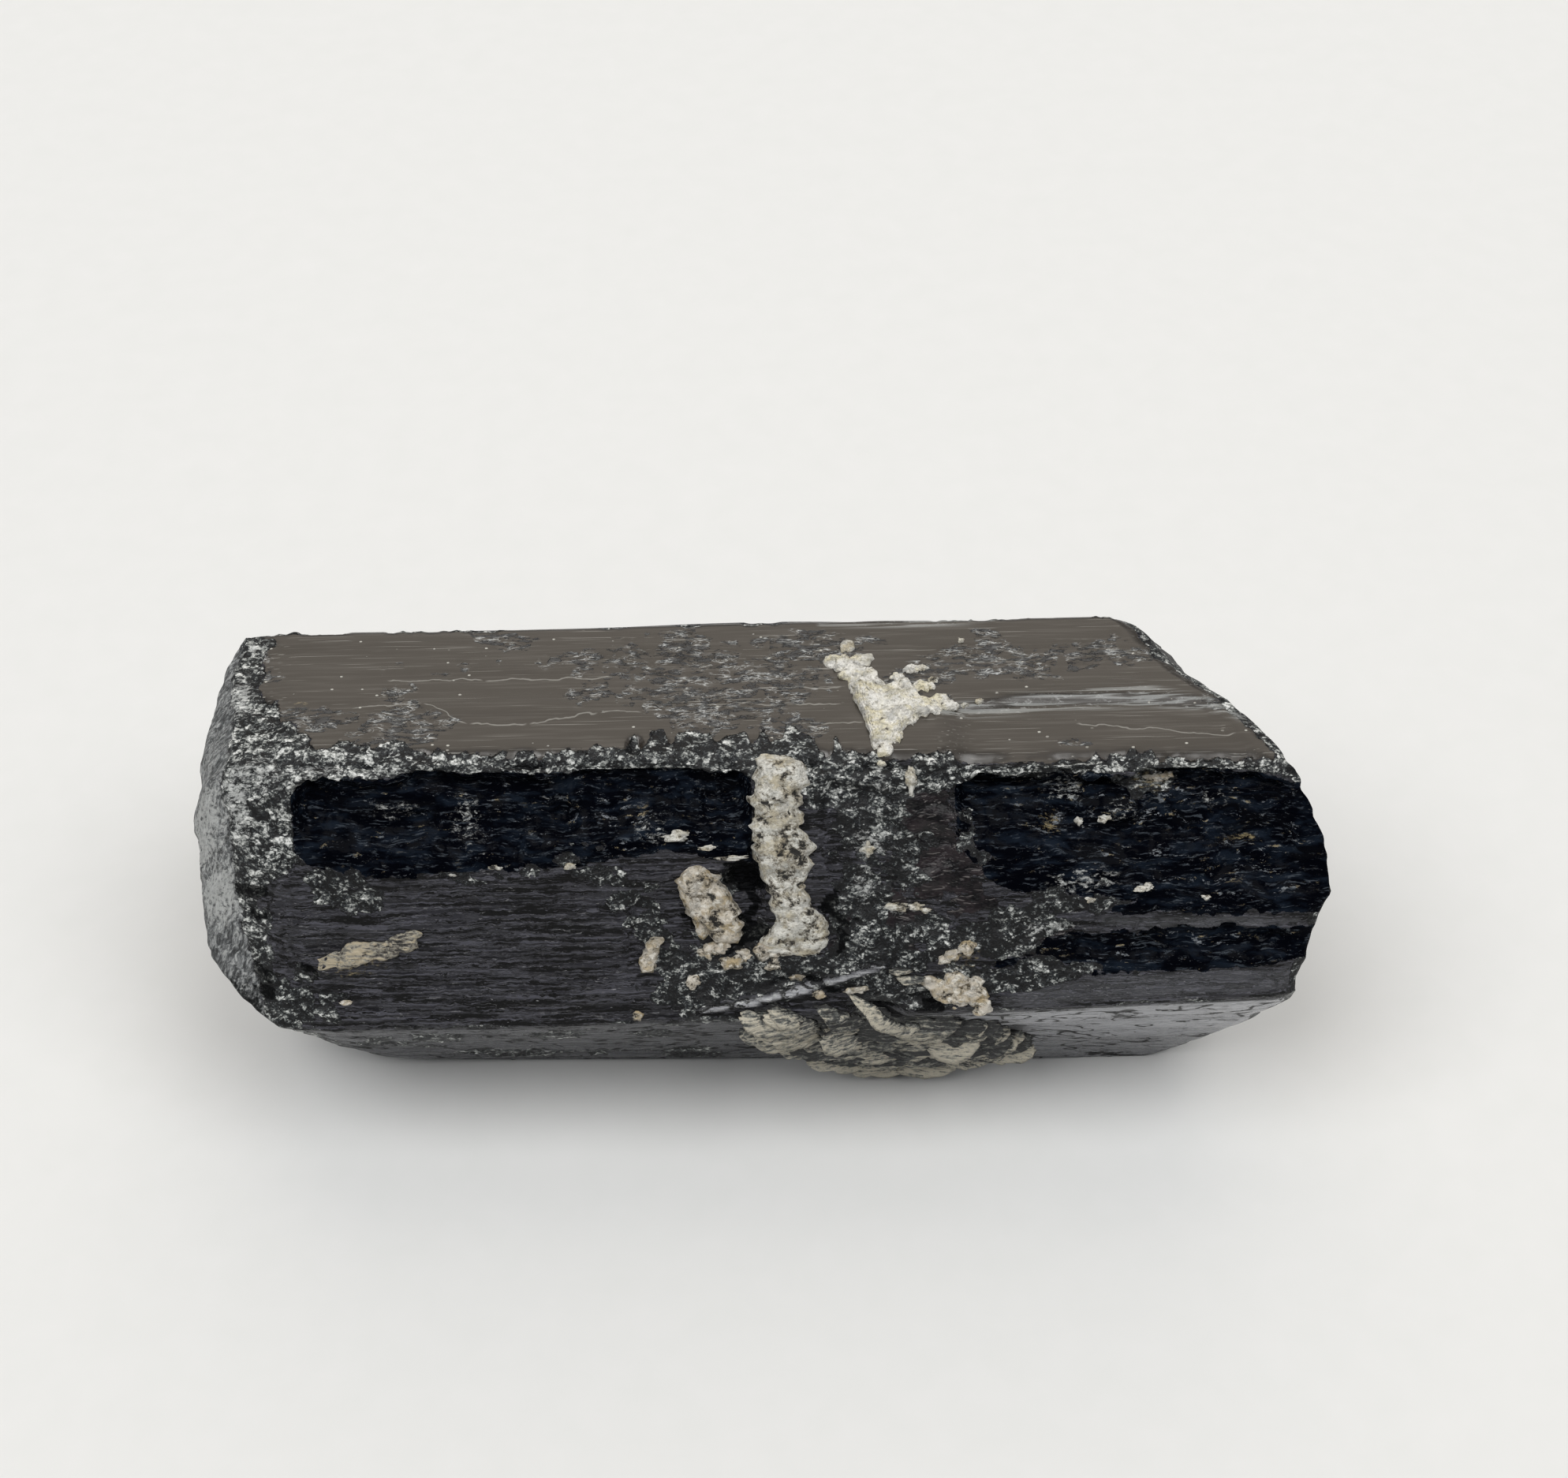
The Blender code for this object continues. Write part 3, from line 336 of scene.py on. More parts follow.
# ---- small tools ----
def smooth_step(low, high, value):
    """0 below low, 1 above high, and an S-curve between them."""
    share = np.clip((value - low) / (high - low), 0.0, 1.0)
    return share * share * (3.0 - 2.0 * share)


def lattice_value(column, row, seed):
    """A repeatable number from 0 to 1 for each whole-numbered place."""
    mixed = (column * 374761393 + row * 668265263 + seed * 974634777) & 0xFFFFFFFF
    mixed = ((mixed ^ (mixed >> 13)) * 1274126177) & 0xFFFFFFFF
    return ((mixed ^ (mixed >> 16)) & 0xFFFF) / 65535.0


def noise(u, v, seed):
    """Smooth noise from -1 to 1, with one feature to each unit of u and v."""
    column = np.floor(u).astype(np.int64)
    row = np.floor(v).astype(np.int64)
    across = smooth_step(0.0, 1.0, u - column)
    up = smooth_step(0.0, 1.0, v - row)
    below = lattice_value(column, row, seed) * (1 - across)
    below = below + lattice_value(column + 1, row, seed) * across
    above = lattice_value(column, row + 1, seed) * (1 - across)
    above = above + lattice_value(column + 1, row + 1, seed) * across
    return 2.0 * (below * (1 - up) + above * up) - 1.0


def grains(u, v, seed):
    """Grain pattern: distance to the nearest grain's middle, and a number from 0 to 1 for the grain."""
    column = np.floor(u).astype(np.int64)
    row = np.floor(v).astype(np.int64)
    nearest = np.full(u.shape, 9.0)
    number = np.zeros(u.shape)
    for across in (-1, 0, 1):
        for up in (-1, 0, 1):
            there, high = column + across, row + up
            away = np.hypot(there + lattice_value(there, high, seed) - u,
                            high + lattice_value(there, high, seed + 1) - v)
            number = np.where(away < nearest, lattice_value(there, high, seed + 2), number)
            nearest = np.minimum(away, nearest)
    return nearest, number


def stations_at(stations, place):
    """Both edges of a stretch given by stations, at each place along it."""
    places, first, second = zip(*stations)
    return np.interp(place, places, first), np.interp(place, places, second)


def value_at(stations, place, period=None):
    """The value of a list of (place, value) stations at each place."""
    places, values = zip(*stations)
    return np.interp(place, places, values, period=period)


def layered(u, v, *layers):
    """Sum of noises, each given as (height, size along u, size along v, seed)."""
    return sum(height * noise(u / across, v / up, seed) for height, across, up, seed in layers)


def in_band(x, girth, stations, soft):
    """1 between the two edges of a band of stations, fading over the width soft."""
    upper, lower = stations_at(stations, x)
    inside = np.minimum(girth - upper, lower - girth)
    ends = np.minimum(x - stations[0][0], stations[-1][0] - x)
    return smooth_step(-soft / 2, soft / 2, np.minimum(inside, ends))


def in_spots(x, girth, spots):
    """The strongest of a list of soft oval spots at each place."""
    strongest = np.zeros_like(x)
    for middle, height, half_length, half_width, strength in spots:
        away = ((x - middle) / half_length) ** 2 + ((girth - height) / half_width) ** 2
        strongest = np.maximum(strongest, strength * np.exp(-away ** 1.5))
    return strongest


def torn(x, girth, spots, ragged, seed):
    """Spots with torn outlines, from 0 to 1."""
    shift = layered(x, girth, (1.3, 2.1, 0.9, seed), (0.5, 0.9, 0.4, seed + 7))
    drop = 0.7 * noise(x / 2.6, girth / 1.2, seed + 1)
    return smooth_step(0.34, 0.62, in_spots(x + shift, girth + drop, spots) + 0.42 * ragged)


# ---- the prism's surface ----
def wrapped(girth):
    """Girth brought into the turn that starts on the upper back edge."""
    return (girth - CORNER_GIRTHS[0]) % GIRTH_ALL + CORNER_GIRTHS[0]


def flat_section(x, girth):
    """(y, z) on the flat-faced, sharp-edged prism."""
    girth = wrapped(girth)
    face = np.clip(np.searchsorted(CORNER_GIRTHS, girth, side="right") - 1, 0, 5)
    starts = np.array(CORNER_GIRTHS)
    share = ((girth - starts[face]) / (starts[face + 1] - starts[face]))[:, None]
    along = ((x + MEASURED_AT) / (2 * MEASURED_AT))[:, None]
    left = np.array(LEFT_CORNERS + LEFT_CORNERS[:1])
    right = np.array(RIGHT_CORNERS + RIGHT_CORNERS[:1])
    start = left[face] * (1 - along) + right[face] * along
    end = left[face + 1] * (1 - along) + right[face + 1] * along
    return start * (1 - share) + end * share


def section(x, girth):
    """(y, z) on the prism with its edges slightly rounded, and the outward normal there."""
    before = flat_section(x, girth - EDGE_ROUNDING)
    after = flat_section(x, girth + EDGE_ROUNDING)
    point = 0.25 * before + 0.5 * flat_section(x, girth) + 0.25 * after
    tangent = flat_section(x, girth + 2 * EDGE_ROUNDING) - flat_section(x, girth - 2 * EDGE_ROUNDING)
    tangent /= np.linalg.norm(tangent, axis=1)[:, None]
    return point, np.stack((tangent[:, 1], -tangent[:, 0]), axis=1)


def rim(stations, girth):
    """x of a broken end's rim, with its corners rounded."""
    turns = [value_at(stations, girth + shift, GIRTH_ALL) for shift in (-RIM_ROUNDING, 0.0, RIM_ROUNDING)]
    level = np.zeros_like(girth)
    return sum(turns) / 3.0 + 0.3 * noise(girth / 1.9, level, 17) + 0.14 * noise(girth / 0.7, level, 18)


def hollow(x, girth, stations, depth, seed):
    """Depth of a broken-out hollow: a steep ragged upper wall, and a scalloped floor that runs out below."""
    upper, lower = stations_at(stations, x)
    level = np.zeros_like(x)
    upper = upper + 0.35 * noise(x / 1.6, level, seed) + 0.16 * noise(x / 0.5, level, seed + 5)
    lower = lower + 0.5 * noise(x / 2.3, girth / 2.0, seed + 1)
    lower = lower + 0.25 * noise(x / 0.8, girth / 0.9, seed + 6)
    across = (girth - upper) / np.maximum(lower - upper, 0.4)
    wall = smooth_step(0.0, WALL_SHARE, across) * (1 - smooth_step(0.45, 1.0, across))
    ends = smooth_step(stations[0][0] - 0.3, stations[0][0] + 1.0, x)
    ends = ends * (1 - smooth_step(stations[-1][0] - 1.0, stations[-1][0] + 0.3, x))
    scallops = 0.75 + 0.25 * noise(x / 2.8, girth / 1.9, seed + 2)
    return depth * wall * ends * scallops


def growth_step(x, girth):
    """Drop of the front of the top face below its back, over the right part."""
    foot = value_at(STEP_ON_TOP, x)
    reach = smooth_step(STEP_START, STEP_START + STEP_RUN_IN, x)
    on_top = (girth < 2.0) & (girth > CORNER_GIRTHS[0])
    return STEP_HEIGHT * reach * on_top * smooth_step(foot - STEP_WIDTH, foot, girth)


def worn_rim(x, left_end, right_end, girth):
    """Inward set of the long faces beside the two broken ends."""
    left_depth = value_at(LEFT_WEAR, girth, GIRTH_ALL)
    left_share = np.clip(1 - (x - left_end) / LEFT_WEAR_WIDTH, 0.0, 1.0)
    right_share = np.clip(1 - (right_end - x) / RIGHT_WEAR_WIDTH, 0.0, 1.0)
    uneven = 1.0 + 0.25 * noise(x / 3.0, girth / 2.8, 15)
    return uneven * (left_depth * left_share ** 1.5 + RIGHT_WEAR * right_share ** 1.5)


def surface(x, girth, height):
    """3-D points at a height over the plain prism."""
    point, normal = section(x, girth)
    place = point + normal * height[:, None]
    return np.column_stack((x, place[:, 0], place[:, 1]))


# ---- masks: how far each kind of surface reaches ----
def crushed_share(x, girth, left_end, right_end, ragged):
    """How far crushed grains reach over the front top edge, beside the breaks and on the other edges."""
    above = girth - value_at(CRUSH_ON_TOP, x)
    below = value_at(CRUSH_ON_FRONT, x) - girth
    spikes = noise(x / 0.6, girth / 2.2, 209) * (0.5 + 0.9 * np.exp(-(x / 9.0) ** 2))
    ridge = smooth_step(-0.35, 0.35, np.minimum(above + spikes, below) + 0.55 * ragged)
    beside_left = value_at(LEFT_BAND, girth, GIRTH_ALL) - (x - left_end)
    beside_left = smooth_step(-0.5, 0.5, beside_left + 1.2 * ragged)
    beside_right = smooth_step(-0.3, 0.3, RIGHT_BAND - (right_end - x) + 0.6 * ragged)
    corners = CORNER_GIRTHS[2:] + CORNER_GIRTHS[:1]
    edges = sum(np.exp(-((girth - corner) / CHIPPED_WIDTH) ** 2) for corner in corners)
    broken = 0.45 + 0.6 * noise(x / 2.4, np.zeros_like(x), 203)
    chipped = smooth_step(0.35, 0.75, edges * broken + 0.25 * ragged)
    return np.max((ridge, beside_left, beside_right, chipped), axis=0)


def hollow_masks(x, girth, ragged):
    """Depth of the hollows at each place, and how far their glassy break reaches."""
    depth, glassy = np.zeros_like(x), np.zeros_like(x)
    for stations, deepest, seed, is_glassy in HOLLOWS:
        here = hollow(x, girth, stations, deepest, seed)
        depth = np.maximum(depth, here)
        if is_glassy:
            glassy = np.maximum(glassy, here / deepest)
    glassy = smooth_step(0.12, 0.3, glassy)
    for band in GLASS_BANDS:
        glassy = np.maximum(glassy, in_band(x, girth + 0.5 * ragged, band, 0.3))
    return depth, glassy


def calm_and_reflection_share(x, girth):
    """How calmly the lower front face grew, most in its upper right part; this share also places its painted
    reflection of the floor.
    """
    calm = smooth_step(*CALM_TOP, girth) * smooth_step(*CALM_FOOT, girth)
    return calm * (0.5 + 0.5 * smooth_step(*CALM_RIGHT, x) * (1 - 0.6 * smooth_step(*CALM_FADE, girth)))


def long_masks(x, girth, left_end, right_end):
    """Masks of the long faces, by name."""
    girth = wrapped(girth)
    ragged = layered(x, girth, *RAGGED)
    spots = torn(x, girth, SPOTS, ragged, 204)
    strips = sum(in_band(x, girth, strip, 0.4) for strip in SMOOTH_STRIPS)
    depth, glassy = hollow_masks(x, girth, ragged)
    crushed = np.maximum(crushed_share(x, girth, left_end, right_end, ragged), spots)
    crushed = crushed * (1 - 0.9 * glassy * (spots < 0.5)) * (1 - 0.9 * strips)
    glassy = glassy * (1 - spots)
    dusky = torn(x, girth, DUSKY, ragged, 206) * (1 - glassy)
    # Painted shade: crushed grains on the faces below the front edge, away from the left break, are
    # darkened.
    bare_and_shade = smooth_step(1.2, 3.4, girth) * smooth_step(-31.5, -28.5, x) * smooth_step(82.0, 64.0, girth)
    step_band = np.maximum(in_band(x, girth, STEP_BAND, 0.5), in_band(x, girth, BACK_EDGE_BAND, 0.4))
    blade = in_band(x, girth, BLADE, 0.35)
    off_blade = 1 - blade
    on_top = smooth_step(-0.2, -0.9, girth)
    return {
        "polished": on_top * (1 - crushed),
        "scuffed": on_top * torn(x, girth, SCUFFS, ragged, 208),
        "crushed": crushed * off_blade,
        "dusky": dusky * off_blade,
        "glassy": glassy * off_blade,
        "fibrous": np.zeros_like(x),
        "flecked": in_spots(x, girth, FLECKED),
        "painted_shade": torn(x, girth, SHADE_SPOTS, ragged, 210),
        "pale": np.max((in_spots(x, girth, PALE), 0.2 * step_band, 0.35 * blade), axis=0),
        "stained": in_spots(x, girth, STAINS),
        "stepped": step_band,
        # This share is also painted reflection of the lit floor: light grey on the calm face, the blade and
        # the strips.
        "calm_and_painted_sheen": np.max((calm_and_reflection_share(x, girth), 0.9 * blade, 0.3 * strips), axis=0),
        "bare_and_shade": np.maximum(bare_and_shade, in_spots(x, girth, SHADED_CRUSH_SPOTS)),
        "blade": blade,
        "depth": depth}


# ---- relief ----
def relief(x, girth, masks):
    """Height of the real surface over the plain prism."""
    girth = wrapped(girth)
    height = layered(x, girth, WAVES, RIBS) * np.where(girth < -1.0, TOP_SMOOTHNESS, 1.0)
    crushed_edge = np.exp(-(girth / CRUSHED_WIDTH) ** 2)
    height -= crushed_edge * (CRUSHED_DEPTH + 0.4 * noise(x / 1.5, girth / 1.2, 13))
    height -= masks["depth"]
    height -= GRAIN_HEIGHT * smooth_step(0.1, 0.5, masks["depth"]) * noise(x / 1.6, girth / 1.3, 14)
    return height - growth_step(x, girth) + fine_relief(x, girth, masks)


def fine_relief(x, girth, masks):
    """Grooves, scallops, crushed grains, steps and slots, too fine for the solid."""
    crushed, glassy, polished = masks["crushed"], masks["glassy"], masks["polished"]
    growth = np.clip(1 - crushed - glassy, 0.0, 1.0)
    grooves = layered(x, girth, *GROOVES)
    snags = smooth_step(0.45, 0.8, noise(x / 2.6, girth / 0.34, 213))
    quiet = np.where(polished > 0.5, 0.22, 1.0) * (1 - 0.7 * masks["calm_and_painted_sheen"])
    height = growth * (grooves - 0.1 * snags) * quiet
    near, number = grains(x / 0.62, girth / 0.52, 221)
    lumps = layered(x, girth, *LUMPS)
    height += crushed * (lumps + 0.14 * (number - 0.6) - 0.08 * near)
    height += masks["dusky"] * 0.22 * noise(x / 1.5, girth / 0.9, 224)
    height -= masks["scuffed"] * 0.05 * (1 + noise(x / 0.9, girth / 0.4, 225))
    near, number = grains(x / 2.4, girth / 1.3, 241)
    spoons = 0.16 * near ** 2 - 0.05 * number
    near, number = grains(x / 0.9 + 0.3 * girth, girth / 0.45, 251)
    chips = 0.04 * near ** 2 + 0.06 * (number > 0.88)
    height += glassy * (spoons + chips)
    lines = layered(x, girth, *STEP_LINES)
    height += 0.07 * masks["stepped"] * lines + BLADE_HEIGHT * masks["blade"]
    for middle, place, half_length, half_width, depth in SLOTS:
        away = ((x - middle) / half_length) ** 2 + ((girth - place) / half_width) ** 2
        height -= depth * np.exp(-away ** 2)
    return height


# ---- the crystal ----
def split_along(bm, axis, count):
    """Cut a box into equal slices along one axis."""
    along = [e for e in bm.edges if abs((e.verts[0].co - e.verts[1].co)[axis]) > 1e-6]
    bmesh.ops.subdivide_edges(bm, edges=along, cuts=count - 1, use_grid_fill=True)


def split_box(segments):
    """A box of quads, and the places of its corners from -1 to 1."""
    bm = bmesh.new()
    bmesh.ops.create_cube(bm, size=2.0)
    for axis, count in enumerate(segments):
        split_along(bm, axis, count)
    return bm, np.array([v.co for v in bm.verts])


def girth_of_grid(y, z):
    """Girth for each place on the rim of the unit square that the section starts from."""
    side = END_SEGMENTS
    steps = np.select(
        [z >= 1 - 1e-6, y <= -1 + 1e-6, z <= -1 + 1e-6],
        [(1 - y) / 2 * side, side + (1 - z) / 2 * side, 2 * side + (1 + y) / 2 * side],
        3 * side + (1 + z) / 2 * side)
    marks = [CORNER_GIRTHS[0]]
    for end, count in GIRTH_SEGMENTS:
        marks.extend(np.linspace(marks[-1], end, count + 1)[1:])
    return np.interp(steps, np.arange(len(marks)), marks)


def long_side(share, girth):
    """Points and masks of the long faces. share runs from 0 at the left break to 1 at the right one."""
    left_end = rim(LEFT_RIM, girth)
    right_end = rim(RIGHT_RIM, girth)
    x = left_end + (right_end - left_end) * share
    masks = long_masks(x, girth, left_end, right_end)
    calm = smooth_step(-1.0, 3.0, np.minimum(x - left_end, right_end - x))
    height = relief(x, girth, masks) * calm - worn_rim(x, left_end, right_end, girth)
    return surface(x, girth, height), masks


def broken_end(at_right, reach, girth):
    """Points and masks of a broken end. reach runs from 0 in its middle to 1 on its rim."""
    edge, masks = long_side(np.full_like(girth, float(at_right)), girth)
    middle = np.array(RIGHT_MIDDLE if at_right else LEFT_MIDDLE)
    power = RIGHT_DOME_POWER if at_right else LEFT_DOME_POWER
    flat = edge * reach[:, None] + middle * (1 - reach)[:, None]
    bulge = reach ** power
    flat[:, 0] = edge[:, 0] * bulge + middle[0] * (1 - bulge)
    y, z = flat[:, 1], flat[:, 2]
    rough = layered(y, z, (1.0, 3.2, 2.4, 81 + at_right), (0.5, 1.5, 1.7, 83 + at_right))
    flat[:, 0] += (RIGHT_BREAK_RELIEF if at_right else LEFT_BREAK_RELIEF) * rough * (1 - reach ** 6)
    flat[:, 0] += (2 * at_right - 1) * end_relief(y, z, at_right) * smooth_step(1.0, 0.9, reach)
    inner = smooth_step(1.0, 0.93, reach + 0.02 * noise(y / 0.8, z / 0.8, 271))
    for name in masks:
        masks[name] = masks[name] * (1 - inner)
    if at_right:
        patches = layered(y, z, *RIGHT_PATCHES)
        masks["dusky"] += inner
        masks["glassy"] += inner * smooth_step(-0.1, 0.9, patches)
        masks["crushed"] += 0.9 * inner * smooth_step(-0.1, -0.9, patches)
        # Painted shade: the right break's crushed grains are darkened.
        masks["bare_and_shade"] += inner
    else:
        masks["fibrous"] += inner
        masks["pale"] += inner * in_spots(z, y, LEFT_END_PALE)
        # Painted shade: the lower part of the left break is darkened.
        masks["painted_shade"] += inner * 0.75 * smooth_step(18.5, 13.0, z + noise(y / 2.0, z / 2.0, 273))
    return flat, masks


def end_relief(y, z, at_right):
    """Fine relief of a broken end: fibres on the left one, chipped scales on the right one."""
    near, number = grains(y / 1.6, z / 1.4, 281)
    if at_right:
        near_fine, number_fine = grains(y / 0.7, z / 0.6, 291)
        return 0.5 * (number - 0.5) + 0.35 * near ** 2 + 0.16 * (number_fine - 0.5) - 0.1 * near_fine
    fibres = layered(y, z, *LEFT_FIBRES)
    return 0.1 * fibres + 0.14 * (number - 0.5) + 0.12 * near ** 2


def make_crystal(material):
    """The tourmaline: a box of quads, bent to the prism and broken where it is."""
    bm, grid = split_box((LENGTH_SEGMENTS, END_SEGMENTS, END_SEGMENTS))
    reach = np.maximum(abs(grid[:, 1]), abs(grid[:, 2]))
    safe = np.maximum(reach, 1e-9)[:, None]
    girth = girth_of_grid(*(grid[:, 1:] / safe).T)
    on_side = reach > 1 - 1e-6
    points, masks = long_side((grid[:, 0] + 1) / 2, girth)
    for at_right in (0, 1):
        cap = ~on_side & (grid[:, 0] * (2 * at_right - 1) > 0)
        points[cap], cap_masks = broken_end(at_right, reach[cap], girth[cap])
        for name, values in cap_masks.items():
            masks[name][cap] = values
    points[:, 2] = np.maximum(points[:, 2], 0.0)
    piece = finished("tourmaline", bm, points, material)
    for name, values in masks.items():
        if name not in ("blade", "depth"):
            paint(piece.data, name, values)
    return piece


def paint(mesh, name, values):
    """Store one number for each corner point, for a material to read."""
    layer = mesh.attributes.new(name, "FLOAT", "POINT")
    layer.data.foreach_set("value", np.clip(values, 0.0, 1.0).astype(np.float32))


# ---- the minerals in it ----
def ragged_edge(edge, place, coarse_seed, fine_seed, fray_seed):
    """An edge of a mineral with coarse bends, and with fine ones that come and go along it."""
    level = np.zeros_like(place)
    edge = edge + RAGGED_EDGE * noise(place / 0.8, level, coarse_seed)
    fray = 1 + noise(place / 1.1, level, fray_seed)
    return edge + FINE_RAGGED_EDGE * noise(place / 0.3, level, fine_seed) * fray


def mineral_points(grid, stations, levels, lump, seed, texture, round_prism=False):
    """Bend a unit box to a lumpy body along its stations.

    levels are its height in the middle, its height at the rim and its depth.
    """
    proud, rim_top, deep = levels
    first_place, last_place = stations[0][0], stations[-1][0]
    place = first_place + (last_place - first_place) * (grid[:, 0] + 1) / 2
    near, far = stations_at(stations, place)
    near = ragged_edge(near, place, seed + 20, seed + 50, seed)
    far = ragged_edge(far, place, seed + 40, seed + 60, seed + 9)
    across = (near + far) / 2 + (far - near) / 2 * grid[:, 1]
    x, girth = (across, place) if round_prism else (place, across)
    x = x + 0.14 * noise(girth / 0.5, x / 1.2, seed + 80) + 0.12 * noise(girth / 0.25, x / 0.6, seed + 81)
    roundness = (1 - abs(grid[:, 1]) ** 6) * (1 - abs(grid[:, 0]) ** 6)
    lumps = lump * noise(x / 1.3, girth / 1.1, seed) * roundness
    top = rim_top + (proud - rim_top) * roundness + lumps + texture(x, girth, seed) * roundness
    bottom = RIM_BOTTOM + (-deep - RIM_BOTTOM) * roundness
    face = surface(x, girth, np.zeros_like(x))
    outward = section(x, girth)[1].mean(axis=0)
    outward /= np.linalg.norm(outward)
    height = bottom + (top - bottom) * (grid[:, 2] + 1) / 2
    points = face + height[:, None] * np.array((0.0, *outward))
    points[:, 2] = np.maximum(points[:, 2], LOWEST_MINERAL)
    return points


def granular(x, girth, seed):
    """Relief of granular feldspar: blunt grains with pits between them."""
    near, number = grains(x / 0.7, girth / 0.55, seed + 3)
    near_fine, number_fine = grains(x / 0.32, girth / 0.28, seed + 7)
    pits = smooth_step(0.3, 0.75, noise(x / 1.1, girth / 0.9, seed + 9))
    coarse = 0.2 * (number - 0.5) - 0.1 * near
    return coarse + 0.12 * (number_fine - 0.5) - 0.06 * near_fine + 0.12 - 0.35 * pits


def leafy(x, girth, seed):
    """Relief of mica books: sheets that overlap like shingles."""
    drift = layered(x, girth, (0.7, 3.1, 3.7, seed + 3), (0.3, 1.1, 1.4, seed + 4))
    coarse = (0.22 * x + 0.34 * girth + drift) % 1.0
    fine = (0.9 * x + 1.1 * girth + 2.2 * drift) % 1.0
    return 0.55 * coarse + 0.14 * fine - 0.3 + 0.05 * noise(x / 0.4, girth / 0.3, seed + 5)


def make_mineral(name, node_name, material, texture, stations, levels, lump, seed, segments,
                 round_prism=False):
    """A mineral body that stands for its plain solid."""
    bm, grid = split_box(segments)
    points = mineral_points(grid, stations, levels, lump, seed, texture, round_prism)
    if not round_prism:
        bmesh.ops.reverse_faces(bm, faces=bm.faces)
    piece = finished(name, bm, points, material)
    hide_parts(node_name)
    if "mica" in node_name:
        paint(piece.data, "tone", 0.7 + 0.3 * noise(points[:, 0] / 1.5, points[:, 2], seed + 70))
    else:
        paint(piece.data, "rotten", in_spots(points[:, 0], points[:, 2], ROTTEN))


def copied(bm, unit, count):
    """Add a number of copies of a unit mesh to a bmesh."""
    for _ in range(count):
        bm.from_mesh(unit)


def sheet_points(grid, sheet, rise, seed):
    """A thin leaf with a frayed outline, its lower side standing out."""
    x, girth, turn, length, width, height, _ = sheet
    along, across, up = grid.T
    level = np.zeros_like(along)
    taper = np.sqrt(np.clip(1 - 0.9 * abs(along) ** 2.4, 0.0, 1.0))
    fray = 1 + 0.22 * noise(along * 2.2 + seed, level, seed)
    fray = fray + 0.14 * noise(along * 5.0 + seed, across, seed + 1)
    far = along * length / 2 * (1 + 0.12 * noise(across * 3.0, level, seed + 2))
    wide = across * width / 2 * taper * fray
    turn = radians(turn)
    place = x + far * np.cos(turn) - wide * np.sin(turn)
    around = girth + far * np.sin(turn) + wide * np.cos(turn)
    top = height + rise * wide - 0.16 * along ** 2 + 0.08 * noise(along * 2.0, across * 2.0, seed + 3)
    points = surface(place, around, top + up * SHEET_THICKNESS / 2)
    points[:, 2] = np.maximum(points[:, 2], LOWEST_MINERAL)
    return points


def scattered_sheets():
    """The small leaves of the mica cluster: laid like shingles, fanned about its middle."""
    random = np.random.default_rng(77)
    first, last = CLUSTER[0][0], CLUSTER[-1][0]
    sheets = []
    while len(sheets) < SMALL_SHEETS:
        x = random.uniform(first + 0.3, last - 0.3)
        near, far = [float(edge) for edge in stations_at(CLUSTER, x)]
        girth = random.uniform(near + 0.2, far - 0.2)
        gap = in_spots(np.array([x]), np.array([girth]), SHEET_GAPS)[0]
        if gap > 0.45:
            continue
        turn = float(value_at(SHEET_TURNS, x)) + random.normal(0.0, 9.0)
        size = random.uniform(0.6, 1.0)
        at_rim = far - girth < 2.2 or x - first < 3.0
        tone = random.uniform(0.6, 1.1) if at_rim else random.uniform(-0.2, 0.95)
        height = 0.35 + 1.0 * float(np.sin(np.pi * (girth - near) / (far - near))) * random.uniform(0.6, 1.1)
        height = min(height, 0.55 + 0.5 * (girth - CORNER_GIRTHS[2]))
        sheets.append((x, girth, turn, 3.6 * size, 1.15 * size, height, tone))
    return sheets


def make_cluster(material):
    """The mica cluster: a lumpy bed, painted dark as shade between the leaves, with frayed leaves on it."""
    bm, grid = split_box((110, 90, 4))
    bed = mineral_points(grid, CLUSTER, (0.35, -0.3, 1.9), 0.3, 106, leafy)
    bmesh.ops.reverse_faces(bm, faces=bm.faces)
    leaf, leaf_grid = split_box((12, 6, 1))
    unit = bpy.data.meshes.new("leaf")
    bmesh.ops.reverse_faces(leaf, faces=leaf.faces)
    leaf.to_mesh(unit)
    leaf.free()
    sheets = scattered_sheets() + list(BIG_SHEETS)
    copied(bm, unit, len(sheets))
    bpy.data.meshes.remove(unit)
    across = bed[:, 0]
    down = CORNER_GIRTHS[2] + (LOWER_FRONT_TOP - bed[:, 2]) * LOWER_FRONT_STRETCH
    gaps = in_spots(across, down, SHEET_GAPS)
    points = [bed]
    # Painted shade: the bed under the leaves gets a low tone, lowest in the gaps.
    tones = [0.08 + 0.2 * noise(across / 1.6, bed[:, 2] / 1.2, 108) - 0.6 * gaps]
    for seed, sheet in enumerate(sheets):
        points.append(sheet_points(leaf_grid, sheet, SHEET_RISE, 300 + seed))
        # Painted shade on the side of each leaf tucked under the next one.
        shade_under_next_leaf = smooth_step(-0.3, -1.0, leaf_grid[:, 1])
        frayed = smooth_step(0.6, 1.0, leaf_grid[:, 1])
        tones.append(sheet[-1] * (1 - 0.7 * shade_under_next_leaf) + 0.2 * frayed)
    piece = finished("cluster", bm, np.concatenate(points), material)
    paint(piece.data, "tone", np.concatenate(tones))
    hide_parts("mica_cluster")


